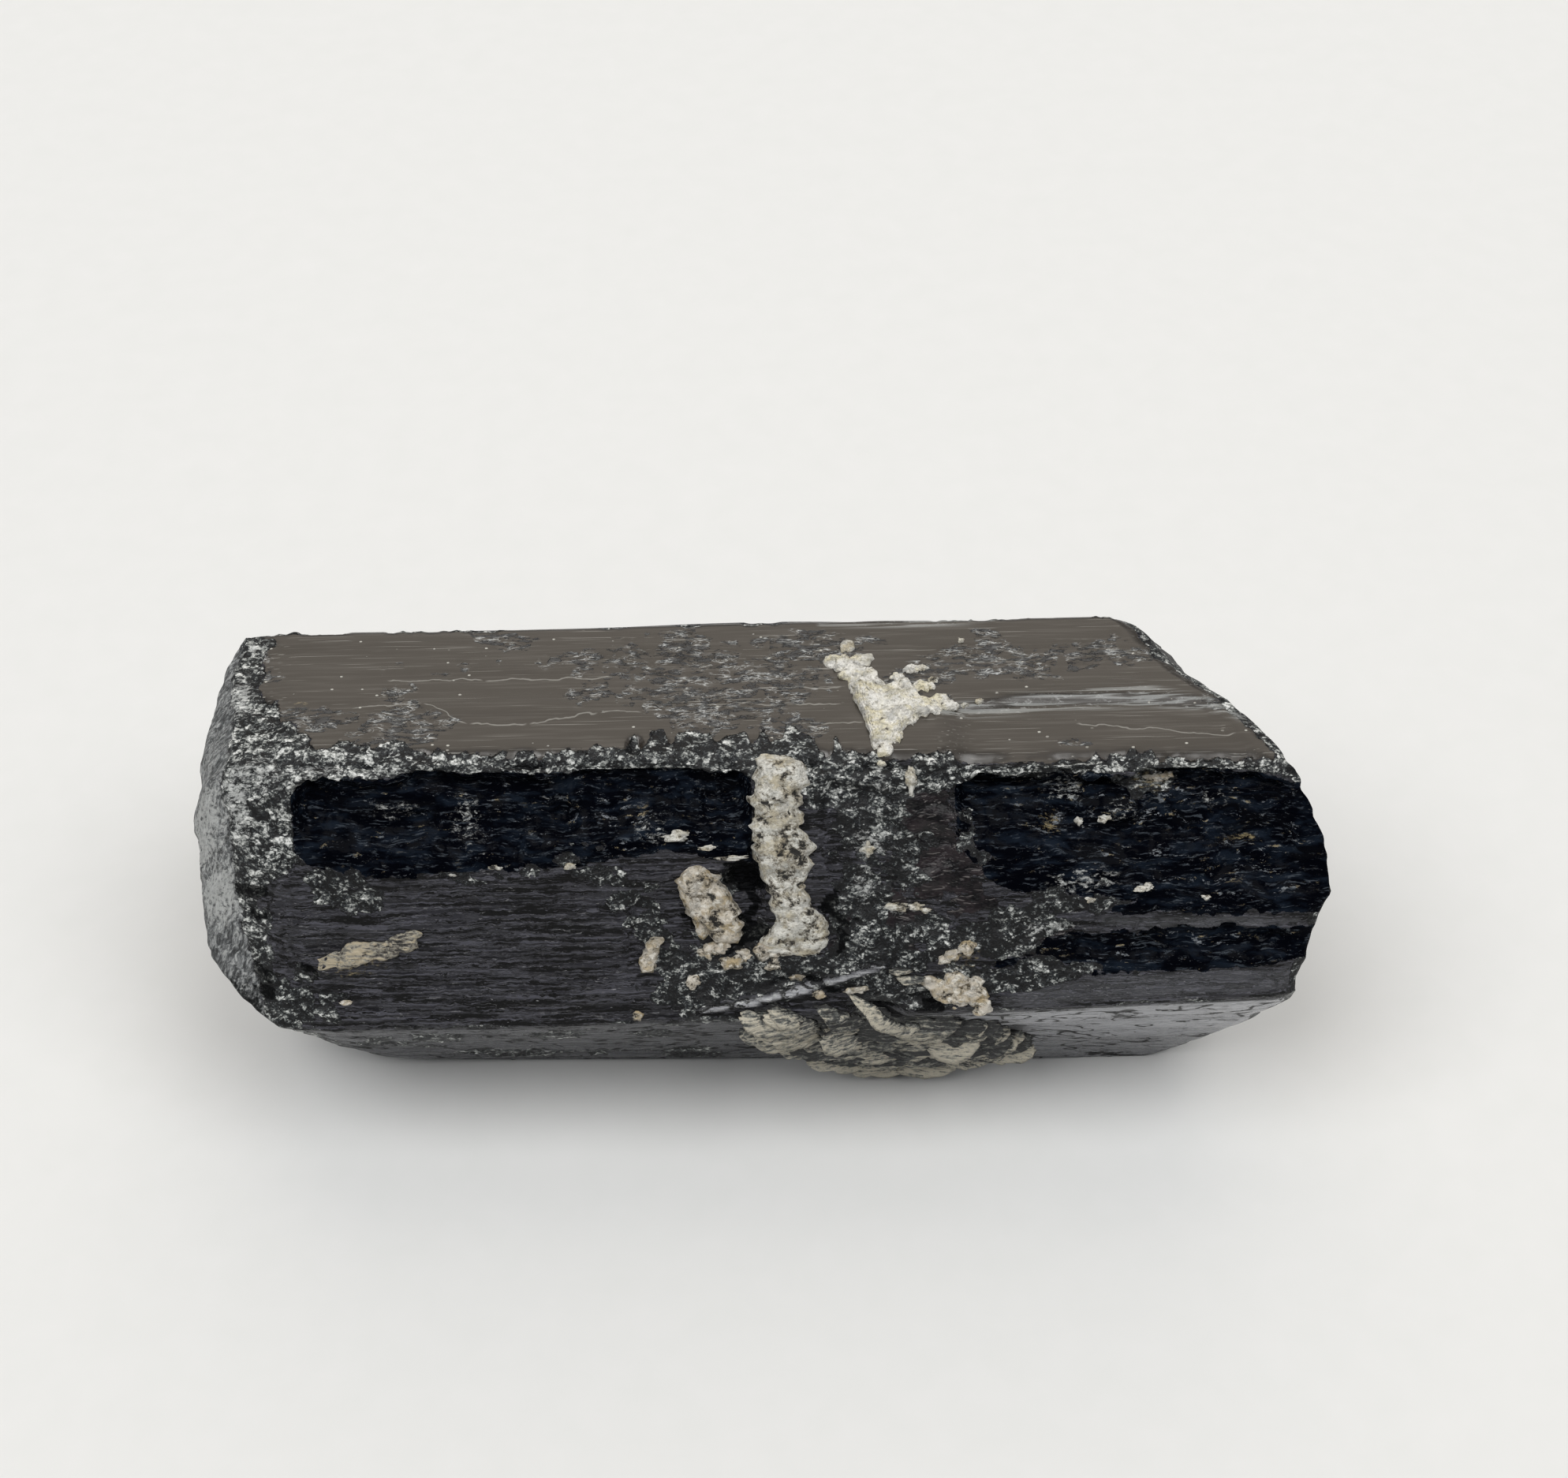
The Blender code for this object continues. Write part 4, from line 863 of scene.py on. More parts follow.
def make_grains(name, material, places, seed):
    """Small feldspar grains set in the tourmaline: blunt lumps, each half sunk."""
    bm = bmesh.new()
    bmesh.ops.create_icosphere(bm, subdivisions=3, radius=1.0)
    ball = np.array([v.co for v in bm.verts])
    unit = bpy.data.meshes.new("grain")
    bm.to_mesh(unit)
    copied(bm, unit, len(places) - 1)
    bpy.data.meshes.remove(unit)
    points = []
    for index, (x, girth, half_length, half_width, height) in enumerate(places):
        key = seed + 3 * index
        lump = 1 + 0.45 * noise(ball[:, 0] * 1.5 + key, ball[:, 1] * 1.5 + ball[:, 2], key)
        lump += 0.3 * noise(ball[:, 0] * 3.2 + key, ball[:, 1] * 3.2 + ball[:, 2], key + 1)
        blunt = ball * lump[:, None]
        lift = np.where(blunt[:, 2] > 0, height, GRAIN_DEEP) * blunt[:, 2]
        around = girth + half_width * blunt[:, 1]
        place = x + half_length * blunt[:, 0]
        floor = relief_at(x, girth)
        points.append(surface(place, around, floor + lift))
    bmesh.ops.reverse_faces(bm, faces=bm.faces)
    finished(name, bm, np.concatenate(points), material)


def relief_at(x, girth):
    """Height of the real surface at one place."""
    x, girth = np.array([float(x)]), np.array([float(girth)])
    masks = long_masks(x, girth, rim(LEFT_RIM, girth), rim(RIGHT_RIM, girth))
    return float(relief(x, girth, masks)[0])


# ---- finishing a piece ----
def finished(name, bm, points, material):
    """Bend a bmesh to its points, and make it a smooth-shaded piece that rides with the specimen."""
    mesh = bpy.data.meshes.new(name)
    bm.to_mesh(mesh)
    bm.free()
    placed = (points - np.array((*FOOTPRINT_MIDDLE, 0.0))) * MM
    mesh.vertices.foreach_set("co", placed.astype(np.float32).ravel())
    mesh.update()
    mesh.shade_smooth()
    mesh.materials.append(material)
    piece = bpy.data.objects.new(name, mesh)
    bpy.context.scene.collection.objects.link(piece)
    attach(piece, "root")
    return piece


# ---- materials ----
# Nodes by the names they go by here, as (kind, output, inputs that take the values, settings).
NODES = {
    "place": ("TexCoord", "Object", (), {}),
    "direction": ("TexCoord", "Generated", (), {}),
    "mask": ("Attribute", "Fac", (), {"attribute_type": "GEOMETRY"}),
    "counted": ("Mapping", 0, ("Vector", "Location", "Scale"), {}),
    "noise": ("TexNoise", 0, ("Vector", "Scale", "Detail", "Roughness"), {}),
    "cells": ("TexVoronoi", "Color", ("Vector", "Scale"), {}),
    "channel": ("SeparateColor", 0, ("Color",), {}),
    "ramp": ("ValToRGB", 0, ("Fac",), {}),
    "plus": ("Math", 0, (0, 1), {"operation": "ADD"}),
    "times": ("Math", 0, (0, 1), {"operation": "MULTIPLY"}),
    "size": ("Math", 0, (0,), {"operation": "ABSOLUTE"}),
    "scaled": ("VectorMath", 0, (0, "Scale"), {"operation": "SCALE"}),
    "moved": ("VectorMath", 0, (0, 1), {"operation": "ADD"}),
    "from": ("VectorMath", 0, (0, 1), {"operation": "SUBTRACT"}),
    "along": ("VectorMath", "Value", (0, 1), {"operation": "DOT_PRODUCT"}),
    # Turns the range of the first two numbers into 0 to 1, or into the range of the next two.
    "between": ("MapRange", 0, (0, 1, 2, 3, 4), {"interpolation_type": "SMOOTHSTEP"}),
    "mixed": ("Mix", 0, (0, 2, 3), {"data_type": "FLOAT"}),
    "blended": ("Mix", 2, (0, 6, 7), {"data_type": "RGBA"}),
    "bump": ("Bump", 0, ("Height", "Distance"), {}),
}


def linear(hex_colour):
    """sRGB hex to linear RGBA."""
    values = [int(hex_colour[i:i + 2], 16) / 255 for i in (1, 3, 5)]
    return [v / 12.92 if v <= 0.04045 else ((v + 0.055) / 1.055) ** 2.4 for v in values] + [1.0]


def put(tree, socket, value):
    """Link an input to another node's output, or set it to a number, a vector or a hex colour."""
    if isinstance(value, bpy.types.NodeSocket):
        tree.links.new(value, socket)
    else:
        socket.default_value = linear(value) if isinstance(value, str) else value


def adder(tree):
    """The function that adds a node to a tree and gives its output back."""
    def add(name, *values, out=None, stops=(), **settings):
        kind, usual_out, inputs, usual_settings = NODES[name]
        node = tree.nodes.new("ShaderNode" + kind)
        for setting, value in (usual_settings | settings).items():
            setattr(node, setting, value)
        for index, value in zip(inputs, values):
            put(tree, node.inputs[index], value)
        for index, (position, colour) in enumerate(stops):
            elements = node.color_ramp.elements
            element = elements[index] if index < 2 else elements.new(position)
            element.position = position
            element.color = linear(colour)
        return node.outputs[usual_out if out is None else out]
    return add


def cloud(add, place, size, shift=0.0, detail=2.0, roughness=0.5):
    """Noise with features of a size in mm."""
    place = add("counted", place, [shift] * 3, [1 / s for s in size])
    return add("noise", place, 1.0, detail, roughness)


def grain(add, place, size, shift=0.0, distance=False):
    """A number for each grain of a size in mm, or the distance to its middle."""
    place = add("counted", place, [shift] * 3, [1 / s for s in size])
    return add("cells", place, 1.0, out="Distance") if distance else add("channel", add("cells", place, 1.0))


def laid(add, colour, *layers):
    """A colour with others laid over it, each as (share, colour)."""
    for share, over in layers:
        colour = add("blended", share, colour, over)
    return colour


def threads(add, place, size, shift, width):
    """Thin wandering lines, 1 on them, from where a noise crosses its middle."""
    off = add("size", add("plus", cloud(add, place, size, shift, 2.0, 0.6), -0.5))
    return add("between", off, width, width * 0.3)


def bent(add, place, size, amount):
    """The place pushed about by a cloud, to break up regular patterns."""
    push = add("noise", add("counted", place, [0.0] * 3, [1 / s for s in size]), 1.0, 2.0, out="Color")
    return add("moved", place, add("scaled", add("from", push, (0.5, 0.5, 0.5)), amount))


def scratch(add, place, wobble, start, end, width):
    """A straight hairline on the top face: 1 on it."""
    ends = []
    for x, girth in (start, end):
        y, y_right = [np.interp(girth, CORNER_GIRTHS[:2], (corners[0][0], corners[1][0]))
                      for corners in (LEFT_CORNERS, RIGHT_CORNERS)]
        y += (y_right - y) * (x + MEASURED_AT) / (2 * MEASURED_AT)
        ends.append(Vector((x - FOOTPRINT_MIDDLE[0], y - FOOTPRINT_MIDDLE[1], 0.0)))
    along = (ends[1] - ends[0]).normalized()
    from_start = add("from", place, ends[0])
    far = add("along", from_start, along)
    off = add("size", add("plus", add("along", from_start, (-along.y, along.x, 0.0)), wobble))
    length = (ends[1] - ends[0]).length
    inside = add("times", add("between", far, 0.0, 0.4), add("between", far, length, length - 0.4))
    return add("times", add("between", off, width, width * 0.4), inside)


def new_material(name, slot):
    """A material for a slot of the record, the function that adds its nodes, and its place in mm."""
    material = bpy.data.materials.new(name)
    material.use_nodes = True
    material["slot"] = slot
    add = adder(material.node_tree)
    return material, add, add("scaled", add("place"), 1 / MM)


def surface_from(material, add, colour, rough, height, ior, gloss=0.5):
    """Join colour, roughness, height in mm and gloss to a material's shader, and give the material back."""
    tree = material.node_tree
    values = {"Base Color": colour, "Roughness": rough, "Normal": add("bump", height, MM), "IOR": ior,
              "Specular IOR Level": gloss}
    for name, value in values.items():
        put(tree, tree.nodes["Principled BSDF"].inputs[name], value)
    return material


# Growth skin of schorl: near-black and semi-gloss, with lengthwise grooves from slow growth along
# the length. It gives fine black slits and thin grey lines over dark purple-grey.
def growth_skin(add, place, fine_bend):
    broad = add("between", cloud(add, place, (9.0, 1.2, 1.2), 11.0, 1.0), 0.38, 0.62)
    lines = add("between", cloud(add, fine_bend, (6.0, 0.16, 0.16), 0.0, 3.0, 0.65), 0.42, 0.62)
    cuts = add("between", cloud(add, fine_bend, (5.0, 0.34, 0.34), 7.0, 4.0, 0.75), 0.525, 0.555)
    dashes = add("between", cloud(add, fine_bend, (1.2, 0.14, 0.14), 3.0, 3.0, 0.7), 0.64, 0.70)
    colour = laid(add, "#141418", (broad, "#25252b"), (lines, "#484850"), (cuts, "#000001"),
                  (add("times", dashes, 0.8), "#8b8b8d"))
    rough = add("mixed", cuts, add("mixed", broad, 0.34, 0.42), 0.9)
    return colour, rough, add("plus", add("times", lines, 0.08), add("times", cuts, -0.2))


# Calm growth face of schorl: the same skin where no groove broke it, so smooth. Its even light grey is
# painted reflection of the lit floor, with thin black cracks and small dark chips. Its mask says how calm
# the face is, and so how much painted reflection it gets.
def calm_skin_and_painted_reflection(add, wide_bend, calm_and_painted_sheen, colour, rough, height):
    grey = add("between", calm_and_painted_sheen, 0.0, 0.5, 0.0, 0.55)
    light = add("between", calm_and_painted_sheen, 0.5, 1.0, 0.0, 0.9)
    cracks = threads(add, wide_bend, (7.0, 2.6, 2.6), 53.0, 0.02)
    chips = add("between", cloud(add, wide_bend, (2.6, 1.3, 1.3), 55.0, 4.0, 0.75), 0.58, 0.61)
    cracks = add("times", add("between", calm_and_painted_sheen, 0.1, 0.5), add("plus", cracks, chips))
    # Painted reflection of the lit floor: grey, then light grey, as the face gets calmer.
    colour = laid(add, colour, (grey, "#5e5f63"), (light, "#b2b3b7"), (cracks, "#060607"))
    rough = add("plus", add("mixed", calm_and_painted_sheen, rough, 0.16), add("times", cracks, 0.4))
    return colour, rough, add("times", height, add("plus", 1.0, add("times", calm_and_painted_sheen, -0.75)))


# Polished-looking top face of schorl: a smooth growth face. Its brown tint is painted reflection of a warm
# wall, set into its colour. It gives an even brown-grey sheen with hairline scratches and a few white
# specks, and feathery torn flakes over blue-black where it is scuffed.
def polished_skin_and_painted_reflection(add, place, wide_bend, fine_bend):
    clouds = add("between", cloud(add, place, (8.0, 3.0, 3.0), 5.0, 1.0), 0.35, 0.65)
    streaks = add("between", cloud(add, place, (6.0, 0.25, 0.25), 19.0, 2.0, 0.6), 0.45, 0.75)
    hairlines = add("between", cloud(add, place, (7.0, 0.08, 0.08), 9.0, 1.0), 0.68, 0.73)
    chosen = add("between", grain(add, place, (0.5, 0.36, 0.36), 2.0), 0.95, 0.97)
    middles = add("between", grain(add, place, (0.5, 0.36, 0.36), 2.0, distance=True), 0.3, 0.16)
    specks = add("times", middles, chosen)
    wobble = add("between", cloud(add, place, (1.5, 1.5, 1.5), 61.0, 2.0), 0.3, 0.7, -0.14, 0.14)
    for start, end, width in SCRATCHES:
        hairlines = add("plus", hairlines, scratch(add, place, wobble, start, end, width))
    edge = add("plus", cloud(add, place, (0.9, 0.5, 0.5), 23.0, 3.0, 0.7), -0.5)
    edge = add("plus", add("mask", attribute_name="scuffed"), add("times", edge, 1.6))
    worn = add("between", edge, 0.3, 0.75)
    bare_and_shade = add("between", cloud(add, wide_bend, (1.3, 0.36, 0.36), 37.0, 4.0, 0.7), 0.49, 0.58)
    bare_and_shade = add("times", bare_and_shade, worn)
    web = threads(add, wide_bend, (2.6, 0.34, 0.34), 31.0, 0.026)
    fine = threads(add, fine_bend, (0.8, 0.26, 0.26), 33.0, 0.022)
    lit = add("between", cloud(add, fine_bend, (1.2, 0.7, 0.7), 35.0, 1.0), 0.44, 0.62)
    lines = add("plus", add("times", web, 0.6), add("times", fine, 0.5))
    flakes = add("times", add("times", worn, lit), lines)
    # The brown-grey base colours are painted reflection of a warm wall.
    colour = laid(add, "#262018", (clouds, "#2d2720"), (add("times", streaks, 0.4), "#54504b"),
                  (add("times", hairlines, 0.45), "#a3a29c"), (add("times", bare_and_shade, 0.8), "#141c24"),
                  (flakes, "#c3c6c5"), (specks, "#b9b7ae"))
    height = add("plus", add("times", specks, 0.05), add("times", bare_and_shade, -0.04))
    return colour, add("mixed", clouds, 0.26, 0.32), height


# Crushed schorl: sharp grains of 0.1 to 0.3 mm, each facing its own way, with rock powder between.
# It gives a salt-and-pepper look from black to nearly white: the pale grains are partly rock powder and
# partly painted glints of facets.
def crushed_break(add, _, wide_bend, fine_bend):
    cell = grain(add, fine_bend, (0.26, 0.18, 0.18), 1.0)
    small = grain(add, fine_bend, (0.13, 0.11, 0.11), 4.0)
    dust = cloud(add, wide_bend, (1.0, 0.7, 0.7), 6.0, 4.0, 0.75)
    chips = threads(add, fine_bend, (0.6, 0.4, 0.4), 63.0, 0.04)
    cracks = threads(add, wide_bend, (1.1, 0.8, 0.8), 66.0, 0.045)
    level = add("plus", add("times", cell, 0.34), add("times", small, 0.22))
    level = add("plus", level, add("between", dust, 0.34, 0.66, -0.1, 0.5))
    # The last part darkens the grains as painted shade.
    for part, weight in ((chips, 0.1), (cracks, -0.26), (add("mask", attribute_name="bare_and_shade"), -0.14)):
        level = add("plus", level, add("times", part, weight))
    # Pale grains are partly rock powder and partly painted glints.
    ramp = add("ramp", level, stops=((0.16, "#020305"), (0.90, "#e6e7e4"), (0.30, "#0a0d10"),
                                     (0.44, "#2e3235"), (0.58, "#707370"), (0.72, "#adafac")))
    height = add("plus", add("times", cell, 0.1), add("times", dust, 0.2))
    return ramp, add("mixed", small, 0.35, 0.65), height


# Dusky break of schorl: an old healed break, rough but clean of loose grains.
# It gives a dark purple-brown with soft lumps and a few pale lengthwise threads.
def dusky_break(add, place, wide_bend, _):
    lumps = cloud(add, place, (1.4, 0.8, 0.8), 41.0, 3.0, 0.65)
    lines = add("between", cloud(add, wide_bend, (1.8, 0.14, 0.14), 43.0, 2.0), 0.60, 0.70)
    colour = laid(add, "#060508", (add("between", lumps, 0.38, 0.65), "#241d20"),
                  (add("times", lines, 0.6), "#7b7775"))
    return colour, add("mixed", lumps, 0.3, 0.5), add("times", lumps, 0.25)


# Conchoidal break of schorl: fresh, glassy and blue-black, as tourmaline has no good cleavage.
# It gives deep black with faint blue ripples, and pale and tan flecks where bits cling to it.
def glassy_break(add, place, wide_bend, _):
    ripples = cloud(add, wide_bend, (1.2, 0.5, 0.5), 8.0, 3.0)
    blue = add("between", cloud(add, wide_bend, (2.6, 0.8, 0.8), 14.0, 4.0, 0.6), 0.46, 0.72)
    streaks = add("between", cloud(add, wide_bend, (1.5, 0.2, 0.26), 47.0, 4.0, 0.7), 0.56, 0.66)
    flecked = add("mask", attribute_name="flecked")
    flecks = cloud(add, wide_bend, (1.3, 0.45, 0.45), 12.0, 5.0, 0.8)
    flecks = add("between", add("plus", flecks, add("times", flecked, 0.04)), 0.60, 0.66)
    gathered = add("between", cloud(add, place, (3.6, 1.4, 1.4), 18.0, 2.0), 0.42, 0.58, 0.15, 1.0)
    flecks = add("times", add("times", flecks, gathered), add("mixed", flecked, 0.65, 1.0))
    tint = add("between", cloud(add, place, (0.8, 0.5, 0.5), 51.0, 1.0), 0.54, 0.62)
    colour = laid(add, "#04050a", (blue, "#171e28"), (add("times", streaks, 0.5), "#515860"),
                  (flecks, add("blended", tint, "#83888d", "#93886f")))
    return colour, add("mixed", blue, 0.15, 0.3), add("times", ripples, 0.08)


# Fibrous break across the prism: splintered ends of the growth fibres with rock powder in them.
# It gives a dull grey with dark and pale threads.
def fibrous_break(add, place, wide_bend, _):
    fibres = cloud(add, wide_bend, (0.5, 0.24, 1.9), 16.0, 4.0, 0.72)
    fine = grain(add, place, (0.2, 0.18, 0.45), 5.0)
    level = add("plus", add("between", fibres, 0.32, 0.70, 0.0, 0.85), add("times", fine, 0.25))
    ramp = add("ramp", level,
               stops=((0.05, "#0b0d0e"), (0.95, "#b4b6b5"), (0.35, "#3d4042"), (0.6, "#757879")))
    return ramp, add("mixed", fine, 0.45, 0.7), add("times", fibres, 0.3)


# Finishes laid over the growth skin, as (mask, finish, gloss). The small steps of the breaks trap
# light, so those keep little gloss.
FINISHES = (
    ("polished", polished_skin_and_painted_reflection, 0.5), ("dusky", dusky_break, 0.2), ("glassy", glassy_break, 0.01),
    ("crushed", crushed_break, 0.25), ("fibrous", fibrous_break, 0.4))


def schorl():
    """Schorl in all its finishes, each laid where the piece's own mask says."""
    material, add, place = new_material("schorl_growth_and_breaks", "schorl")
    wide_bend = bent(add, place, (2.4, 1.6, 1.6), 0.9)
    fine_bend = bent(add, place, (0.7, 0.5, 0.5), 0.3)
    calm_and_painted_sheen = add("mask", attribute_name="calm_and_painted_sheen")
    colour, rough, height = calm_skin_and_painted_reflection(add, wide_bend, calm_and_painted_sheen, *growth_skin(add, place, fine_bend))
    gloss = add("mixed", calm_and_painted_sheen, 0.26, 0.5)
    edge = cloud(add, place, (0.5, 0.35, 0.35), 20.0, 3.0, 0.7)
    edge = add("times", add("plus", edge, -0.5), 1.3)
    for mask, finish, new_gloss in FINISHES:
        share = add("between", add("plus", add("mask", attribute_name=mask), edge), 0.42, 0.58)
        new_colour, new_rough, new_height = finish(add, place, wide_bend, fine_bend)
        colour = add("blended", share, colour, new_colour)
        rough = add("mixed", share, rough, new_rough)
        height = add("mixed", share, height, new_height)
        gloss = add("mixed", share, gloss, new_gloss)
    # Painted shade: crevices, slots and the lower left break go nearly black and lose their gloss.
    painted_shade = add("between", add("plus", add("mask", attribute_name="painted_shade"), edge), 0.25, 0.7)
    gloss = add("mixed", painted_shade, gloss, 0.05)
    stripes = add("between", cloud(add, place, (7.0, 0.2, 0.2), 22.0, 2.0), 0.47, 0.56)
    stripes = add("times", add("mask", attribute_name="stepped"), add("times", stripes, 0.75))
    colour = laid(add, colour, (add("times", painted_shade, 0.9), "#040506"), (stripes, "#8f918f"))
    mottle = cloud(add, fine_bend, (0.6, 0.22, 0.4), 24.0, 4.0, 0.75)
    for mask, tint in (("pale", "#c3c5c3"), ("stained", "#958868")):
        strength = add("mask", attribute_name=mask)
        share = add("plus", mottle, add("times", strength, 0.22))
        share = add("between", share, 0.58, 0.76, 0.0, 0.8)
        share = add("times", share, add("between", strength, 0.05, 0.3))
        colour = add("blended", share, colour, tint)
    return surface_from(material, add, colour, rough, height, 1.64, gloss)


# Feldspar: blocky grains of 0.1 to 0.6 mm, half weathered. It gives a matt cream and tan with grey clean
# grains, small glints from cleavage, and real pits painted near black as shade.
def feldspar(name, clean, weathered, pit_share):
    material, add, place = new_material(name, "feldspar")
    fine_bend = bent(add, place, (0.7, 0.7, 0.7), 0.35)
    cell = grain(add, fine_bend, (0.34, 0.26, 0.26), 1.0)
    small = grain(add, fine_bend, (0.15, 0.12, 0.12), 3.0)
    stain = add("between", cloud(add, place, (1.4, 1.0, 1.0), 5.0, 4.0, 0.6), 0.42, 0.62)
    rot = cloud(add, fine_bend, (0.9, 0.7, 0.7), 9.0, 5.0, 0.75)
    rot = add("plus", rot, add("times", add("mask", attribute_name="rotten"), 0.12))
    grey = add("between", cloud(add, place, (1.1, 0.9, 0.9), 15.0, 2.0), 0.52, 0.62)
    softened = add("between", rot, 0.53 - pit_share, 0.62 - pit_share, 0.0, 0.75)
    # Painted shade: the deepest pits are coloured near black.
    pits = add("between", rot, 0.60 - pit_share, 0.66 - pit_share)
    colour = laid(add, clean, (stain, weathered), (add("times", grey, 0.45), "#8f908e"),
                  (add("between", cell, 0.55, 1.0, 0.0, 0.7), "#f4f1e8"),
                  (add("between", small, 0.65, 1.0, 0.0, 0.48), "#7d7665"),
                  (softened, "#776d58"), (pits, "#1d1b18"))
    height = add("plus", add("times", cell, 0.12), add("times", rot, -0.5))
    return surface_from(material, add, colour, add("mixed", small, 0.4, 0.75), height, 1.53)


# Mica: stacks of thin flexible sheets, frayed at the edges and stained. It gives grey-brown flakes
# with pale frayed rims, a pearly sheen, and painted shade as dark gaps between the sheets.
def mica(name, body, edge):
    material, add, place = new_material(name, "mica")
    tone = add("mask", attribute_name="tone")
    sheets = cloud(add, bent(add, place, (1.5, 1.5, 1.5), 0.5), (2.4, 0.26, 0.16), 2.0, 4.0, 0.65)
    specks = cloud(add, place, (0.35, 0.25, 0.25), 6.0, 3.0, 0.7)
    # Painted shade: dark gaps between the sheets, more where the tone is low.
    painted_shade = add("between", cloud(add, place, (1.0, 0.3, 0.2), 10.0, 3.0, 0.6), 0.56, 0.62)
    level = add("plus", add("between", sheets, 0.35, 0.65, -0.4, 0.4),
                add("between", specks, 0.35, 0.65, -0.22, 0.22))
    ramp = add("ramp", add("plus", level, tone),
               stops=((0.1, "#0c0c0d"), (1.0, edge), (0.4, body), (0.65, "#8d8b81")))
    painted_shade = add("times", painted_shade, add("between", tone, 0.9, 0.4, 0.2, 0.9))
    colour = add("blended", painted_shade, ramp, "#0d0d0e")
    rough = add("mixed", sheets, 0.3, 0.6)
    return surface_from(material, add, colour, rough, add("times", sheets, 0.25), 1.59)


# Paper: uncoated, off-white and matt. It gives a plain pale ground.
def paper():
    material, add, place = new_material("matt_paper", "")
    pulp = cloud(add, place, (3.0, 3.0, 3.0), 1.0, 3.0)
    colour = add("blended", pulp, "#e0e1df", "#e5e5e4")
    rough = add("between", pulp, 0.0, 1.0, 0.85, 0.95)
    return surface_from(material, add, colour, rough, add("times", pulp, 0.02), 1.45)


# ---- ground, light and camera ----
CAMERA_PLACE = (-0.92, -111.77, 143.68)  # mm
CAMERA_AZIMUTH = -1.7
CAMERA_ELEVATION = 46.5
CAMERA_WIDTH_ANGLE = 36.0
FLOOR_HALF = 2500.0
# Soft lights, as (name, azimuth, elevation, spread, strength). The front stays dark, as broken
# faces there would mirror a lamp.
SOFT_LIGHTS = (("soft_left", -58.0, 59.0, 38.0, 1.5), ("soft_right", 58.0, 60.0, 38.0, 1.25))
WINDOW_ELEVATION = 48.0  # bright wall behind, which the top face mirrors
WINDOW_EDGE = (35.0, 24.0)  # angles from its middle where it starts and is full
WINDOW_STRENGTH = 1.25
DIM_ROOM = 0.22
DIM_COLOUR = "#e9ecf2"
BRIGHT_COLOUR = "#fff7ec"
LOW_FRONT_TILT = 40.0  # elevation, to the back, of the half of the room that is not dark
LOW_FRONT_EDGE = (-0.62, -0.25)  # cosines from there where the dark low front ends


def make_floor():
    """A plain pale floor under the specimen."""
    bm = bmesh.new()
    bmesh.ops.create_grid(bm, x_segments=1, y_segments=1, size=FLOOR_HALF * MM)
    mesh = bpy.data.meshes.new("floor")
    bm.to_mesh(mesh)
    bm.free()
    mesh.materials.append(paper())
    floor = bpy.data.objects.new("floor", mesh)
    bpy.context.scene.collection.objects.link(floor)


def towards(elevation, azimuth):
    """Direction to a place in the room. Azimuth 0 is in front of the specimen, 180 behind."""
    level = np.cos(radians(elevation))
    turn = radians(azimuth)
    return Vector((level * np.sin(turn), -level * np.cos(turn), np.sin(radians(elevation))))


def make_light():
    """Soft lights above and at both sides, in a dim pale room with a bright wall behind."""
    for name, azimuth, elevation, spread, strength in SOFT_LIGHTS:
        lamp = bpy.data.lights.new(name, "SUN")
        lamp.angle = radians(spread)
        lamp.energy = strength
        lamp.color = (1.0, 0.995, 0.985)
        light = bpy.data.objects.new(name, lamp)
        light.rotation_euler = towards(elevation, azimuth).to_track_quat("Z", "Y").to_euler()
        bpy.context.scene.collection.objects.link(light)
    world = bpy.data.worlds.new("pale_room")
    world.use_nodes = True
    tree = world.node_tree
    add = adder(tree)
    direction = add("direction")
    facing = add("along", direction, towards(WINDOW_ELEVATION, 180.0))
    window = add("between", facing, *[np.cos(radians(angle)) for angle in WINDOW_EDGE])
    facing = add("along", direction, towards(LOW_FRONT_TILT, 180.0))
    room = add("times", add("between", facing, *LOW_FRONT_EDGE), DIM_ROOM)
    inputs = tree.nodes["Background"].inputs
    put(tree, inputs["Color"], add("blended", window, DIM_COLOUR, BRIGHT_COLOUR))
    put(tree, inputs["Strength"], add("mixed", window, room, WINDOW_STRENGTH))
    bpy.context.scene.world = world


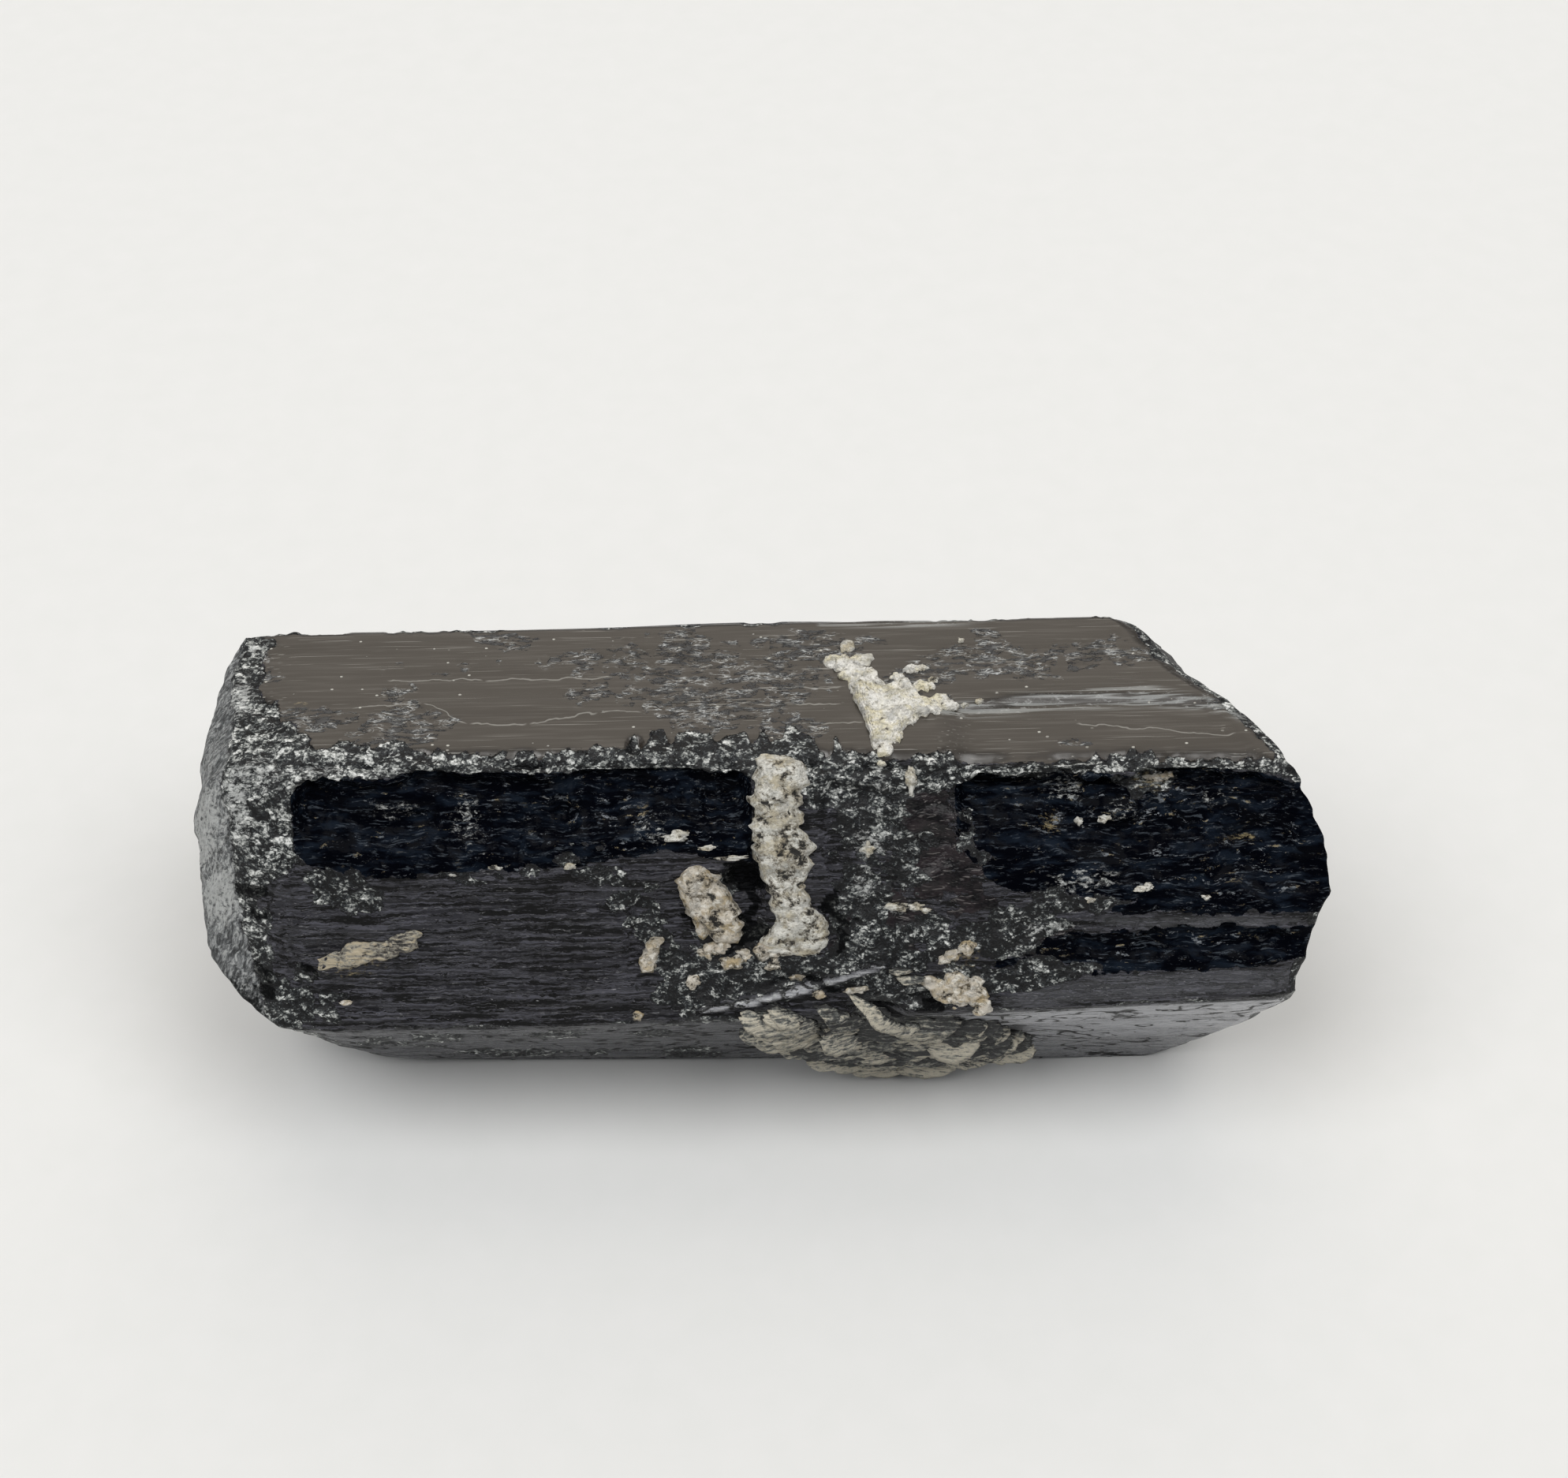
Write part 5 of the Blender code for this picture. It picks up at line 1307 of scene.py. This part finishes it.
def make_camera():
    """The camera, above and in front, turned slightly to one side."""
    camera = bpy.data.cameras.new("camera")
    camera.sensor_width = 36.0
    camera.lens = camera.sensor_width / 2 / np.tan(radians(CAMERA_WIDTH_ANGLE / 2))
    camera.clip_start = 0.01
    camera.clip_end = 10.0
    viewer = bpy.data.objects.new("camera", camera)
    viewer.location = [place * MM for place in CAMERA_PLACE]
    viewer.rotation_euler = (radians(90 - CAMERA_ELEVATION), 0.0, radians(CAMERA_AZIMUTH))
    bpy.context.scene.collection.objects.link(viewer)
    bpy.context.scene.camera = viewer
    bpy.context.scene.view_settings.view_transform = "Standard"


# ---- the whole specimen ----
def main():
    """Build every piece, the ground, the light and the camera."""
    crystal = make_crystal(schorl())
    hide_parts("tourmaline_crystal")
    cream = feldspar("feldspar_cream", "#e6e5dd", "#cbc2ab", 0.02)
    tan = feldspar("feldspar_tan", "#dbd3c5", "#bba986", 0.03)
    white = feldspar("feldspar_white", "#fbf9f2", "#ece4c6", -0.05)
    books = mica("mica_books", "#4f524f", "#c4bdab")
    stained = mica("mica_stained", "#5d564c", "#b3a78e")
    make_mineral("vein", "feldspar_vein", cream, granular, VEIN, (0.6, -0.7, 2.2), 0.2, 101,
                 (100, 34, 6), round_prism=True)
    make_mineral("patch", "feldspar_patch", tan, granular, PATCH, (0.45, -0.4, 1.8), 0.3, 102,
                 (44, 28, 6), round_prism=True)
    make_mineral("chip", "feldspar_chip", tan, granular, CHIP, (0.25, -0.2, 1.5), 0.1, 103,
                 (24, 12, 4), round_prism=True)
    make_mineral("crust", "feldspar_crust", white, granular, CRUST, (0.6, -0.05, 1.5), 0.35, 104,
                 (54, 50, 6))
    make_mineral("flake", "feldspar_flake", tan, granular, FLAKE, (0.5, -0.2, 1.5), 0.15, 105,
                 (32, 20, 4))
    make_cluster(books)
    make_mineral("streak", "mica_streak", stained, leafy, STREAK, (0.15, -0.05, 1.5), 0.1, 107,
                 (60, 16, 4))
    make_grains("cream_grains", cream, CREAM_GRAINS, 401)
    make_grains("tan_grains", tan, TAN_GRAINS, 501)
    make_grains("white_grains", white, WHITE_GRAINS, 601)
    make_floor()
    make_light()
    make_camera()


main()
